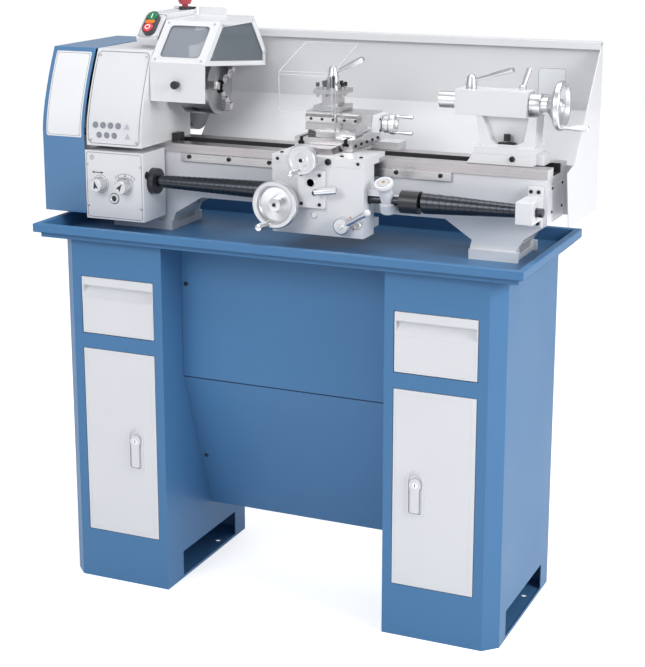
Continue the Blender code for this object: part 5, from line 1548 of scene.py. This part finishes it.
def top_slide_finish(place, normal):
    return 1 if place.x > TOP_X1 + 0.2 and place.z < 1112 else 0


soften("top_slide", [SLIDE_STEEL, WHITE], 0.9, top_slide_finish)
slide_screws = [(at(top_x0 + 18 + 26 * i, top_y0 + 0.6, 1096), FORWARD) for i in range(5)]
screws("top_slide_screws", slide_screws, "top_slide", 6)
end_screws = [(at(TOP_X1 + 15, AXIS_Y + s * 20, AXIS_Z + t * 12), RIGHTWARD) for s, t in CORNERS]
screws("top_bracket_screws", end_screws, "top_slide", 5.5)
marks("swivel_marks", at(70, AXIS_Y, 1070.2), UPWARD, "compound_base", 72, 49.5, 3.0, 6, 0.5, True)
wheel_x = TOP_X1 + 47.5
knob = turned([(0, 2.2), (8, 2.2), (9.5, 0.8), (10, -3), (20, -3), (21.6, -4.4), (22, -6), (22, -13),
               (20.6, -15.6), (19, -17), (19, -28), (12.5, -29), (12.5, -32)],
              at(wheel_x, AXIS_Y, AXIS_Z), RIGHTWARD, 56)
keep(knob, "top_wheel", SATIN, wheel, (wheel,), angle=25)
marks("top_dial_marks", at(wheel_x - 25.5, AXIS_Y, AXIS_Z), RIGHTWARD, wheel, 60, 19, 2.0)
for end, s in (("low", -1), ("high", 1)):
    grip_base = at(wheel_x - 3.5, AXIS_Y + 2 * s, AXIS_Z + 17 * s)
    handle("top_wheel_grip_" + end, grip_base, RIGHTWARD, 40, 4.4, wheel)
tell("Compound and top slide")

# %% [markdown]
# ## Toolpost
# A four-way block with square-headed clamp bolts round its rim and a lever on top. The bolt
# heads are rounded square plates, joined into one piece because they are all alike.

# %% Toolpost
soften("toolpost", CUT_STEEL, 0.8, angle=28)
(post_x0, post_x1), (post_y0, post_y1), _ = span("toolpost")
post_x, post_y, BOLT_Z, BOLT_INSET = (post_x0 + post_x1) / 2, (post_y0 + post_y1) / 2, 1163.5, 7.5
half = (post_x1 - post_x0) / 2 - BOLT_INSET
square_heads = []
for dx, dy in ((-1, -1), (-0.33, -1), (0.33, -1), (1, -0.33), (1, 0.33), (0.33, 1), (-1, 0.33), (-1, 1)):
    bolt = face_frame(at(post_x + dx * half, post_y + dy * half, BOLT_Z), (1, 0.15, 0), (0, 1, 0))
    square_heads.append(plate([rounded(7, 7, 0.8)], 8.5, bolt))
keep(joined(*square_heads), "toolpost_bolts", BLACK_OXIDE, "toolpost", soft_edge=0.4)
hub = turned([(0, 48), (5, 48), (7.5, 46.5), (9, 44), (11, 30), (13.4, 24), (13.4, 8), (16.5, 6.5),
              (17, 5), (17, 0.3)], at(post_x, post_y, 1158), UPWARD, 48)
keep(hub, "toolpost_lever_hub", CHROME, "toolpost_lever", ("toolpost_lever",), angle=25)
low, high = at(post_x + 6, post_y - 1, 1193), at(136, 4, 1225)
arm = bar([low, low.lerp(high, 0.35), low.lerp(high, 0.42), low.lerp(high, 0.9), high], 5, 24,
          (3.6, 4.2, 5.4, 6.6, 5.4))
keep(arm, "toolpost_lever_arm", CHROME, "toolpost_lever", angle=50)
tell("Toolpost")

# %% [markdown]
# ## Tool shield
# A bent clear sheet. Clear sheet shows mostly at its edges, so thin brighter bars, a painted
# highlight, follow its rims, and the pane itself is nearly invisible.

# %% Tool shield
soften("tool_shield", SHIELD, 0.0, name="shield_pane")
SHIELD_LINE = [(-49.5, 1111.0), (-50.5, 1190.0), (-47.5, 1196.5), (94.0, 1247.0)]
shield_x = (span("tool_shield")[0][0] + 1, 86.0)
# Painted highlight: bright bars along every rim of the shield.
rims = [bar([at(x, y, z) for y, z in SHIELD_LINE], 0.7, 8) for x in shield_x]
rims += [bar([at(shield_x[0], y, z), at(shield_x[1], y, z)], 0.7, 8) for y, z in SHIELD_LINE]
keep(joined(*rims), "shield_rims", SHIELD_EDGE_HIGHLIGHT, "tool_shield")
clip = plate([rounded(9, 26, 3)], 5, front_at(span("tool_shield")[0][1] - 2, -43.5, 1178))
keep(clip, "shield_clip", BLACK, "tool_shield", soft_edge=0.8)
tell("Tool shield")

# %% [markdown]
# ## Tailstock
# Two white castings, one on the other, with a ground quill in the upper one. A turned
# handwheel with one handle drives it.

# %% Tailstock
base_front = span("tailstock_base")[1][0]
soften("tailstock_base", WHITE, 2.0, segments=3)
soften("tailstock_body", WHITE, 2.4, segments=3)
soften("quill", CHROME, 0.8)
screws("tail_base_screws", [(at(479, base_front, 1033.5), FORWARD)], "tailstock_base", 12)
clamp = turned([(0, 17), (6.5, 17), (7.5, 16), (7.5, 2.5)], at(458, 14, 1064), UPWARD, 6)
washer = plate([rounded(36, 17, 2)], 3, top_at(458, 14, 1060.2))
keep(joined(clamp, washer), "tail_clamp_nut", BLACK_OXIDE, "tailstock_body", angle=25)
tell("Tailstock castings")

# %% [markdown]
# ## Tailstock handwheel
# The wheel moves the quill. It is dished like the carriage wheel and has a long hub with a
# dial, so one profile gives the rim, the dish and the hub.

# %% Tailstock handwheel
wheel = "tailstock_handwheel"
rim = turned([(0, 1), (5.5, 1), (6.5, 0), (13, -3), (14, -4), (14, -13.5), (39, -7.5), (42, -2), (43.5, 0.6),
              (49.5, 0.6), (51.6, -1.4), (52, -3), (52, -10), (50, -13.6), (42, -16), (20, -30), (16, -34),
              (16, -46), (22, -48), (22.4, -49), (22.4, -70), (21.6, -71), (0, -71)],
             at(573, SPINDLE_Y, SPINDLE_Z), RIGHTWARD, 72)
keep(rim, "tail_wheel", CHROME, wheel, (wheel,), angle=25)
marks("tail_dial_marks", at(508, SPINDLE_Y, SPINDLE_Z), RIGHTWARD, wheel, 60, 22.4, 2.6)
handle("tail_wheel_grip", at(570, SPINDLE_Y - 20, SPINDLE_Z - 42), RIGHTWARD, 62, 6.6, wheel)
tell("Tailstock handwheel")

# %% [markdown]
# ## Tailstock levers
# The long lever locks the quill, and the short one behind it locks the tailstock on the
# bed. Both are turned hubs with an arm that swells towards the hand.

# %% Tailstock levers
lock_x, lock_z = 370.6, 1170.0
hub = turned([(0, 29), (6, 29), (7, 28), (9, 26.5), (11.5, 11), (12, 9.5), (12, 0.3)],
             at(lock_x, SPINDLE_Y, lock_z), UPWARD, 40)
keep(hub, "quill_lock_hub", CHROME, "quill_lock_lever", ("quill_lock_lever",), angle=25)
low, high = at(lock_x + 3.4, SPINDLE_Y, lock_z + 17), at(470, SPINDLE_Y - 26, lock_z + 46)
arm = bar([low, low.lerp(high, 0.42), low.lerp(high, 0.47), low.lerp(high, 0.92), high], 5, 24,
          (3.8, 4.3, 5.6, 6.7, 5.5))
keep(arm, "quill_lock_arm", CHROME, "quill_lock_lever", angle=50)
base = turned([(0, 8), (6.5, 8), (8, 7), (8, 0.3)], at(474, 64, lock_z), UPWARD, 32)
keep(base, "tail_lock_hub", SATIN, "tailstock_lock_lever", ("tailstock_lock_lever",))
low, high = at(474, 64, lock_z + 4), at(481, 84, lock_z + 40)
arm = bar([low, low.lerp(high, 0.5), high], 5, 20, (4.6, 5.4, 6.0))
keep(arm, "tail_lock_arm", CHROME, "tailstock_lock_lever", angle=50)
tell("Tailstock levers")

# %% [markdown]
# ## The floor
# A wide pale floor takes the machine's shadow. A little glow that only the eye and
# reflections see keeps it as white as the studio round it.

# %% Floor
bm = bmesh.new()
bmesh.ops.create_grid(bm, x_segments=1, y_segments=1, size=8.0)
mesh = bpy.data.meshes.new("Floor")
bm.to_mesh(mesh)
bm.free()
floor = bpy.data.objects.new("Floor", mesh)
floor.location.z = -0.0005
IN_SCENE.link(floor)
material = bpy.data.materials.new("Studio floor")
material.use_nodes = True
nodes, links = material.node_tree.nodes, material.node_tree.links
shader = nodes["Principled BSDF"]
shader.inputs["Base Color"].default_value = (0.90, 0.90, 0.90, 1.0)
shader.inputs["Roughness"].default_value = 0.9
shader.inputs["Emission Color"].default_value = (1, 1, 1, 1)
path = nodes.new("ShaderNodeLightPath")
seen = nodes.new("ShaderNodeMath")
seen.operation = "MAXIMUM"
glow = nodes.new("ShaderNodeMath")
glow.operation = "MULTIPLY"
glow.inputs[1].default_value = 0.58
links.new(path.outputs["Is Camera Ray"], seen.inputs[0])
links.new(path.outputs["Is Glossy Ray"], seen.inputs[1])
links.new(seen.outputs[0], glow.inputs[0])
links.new(glow.outputs[0], shader.inputs["Emission Strength"])
mesh.materials.append(material)
print("floor", round(floor.dimensions.x), "m wide")
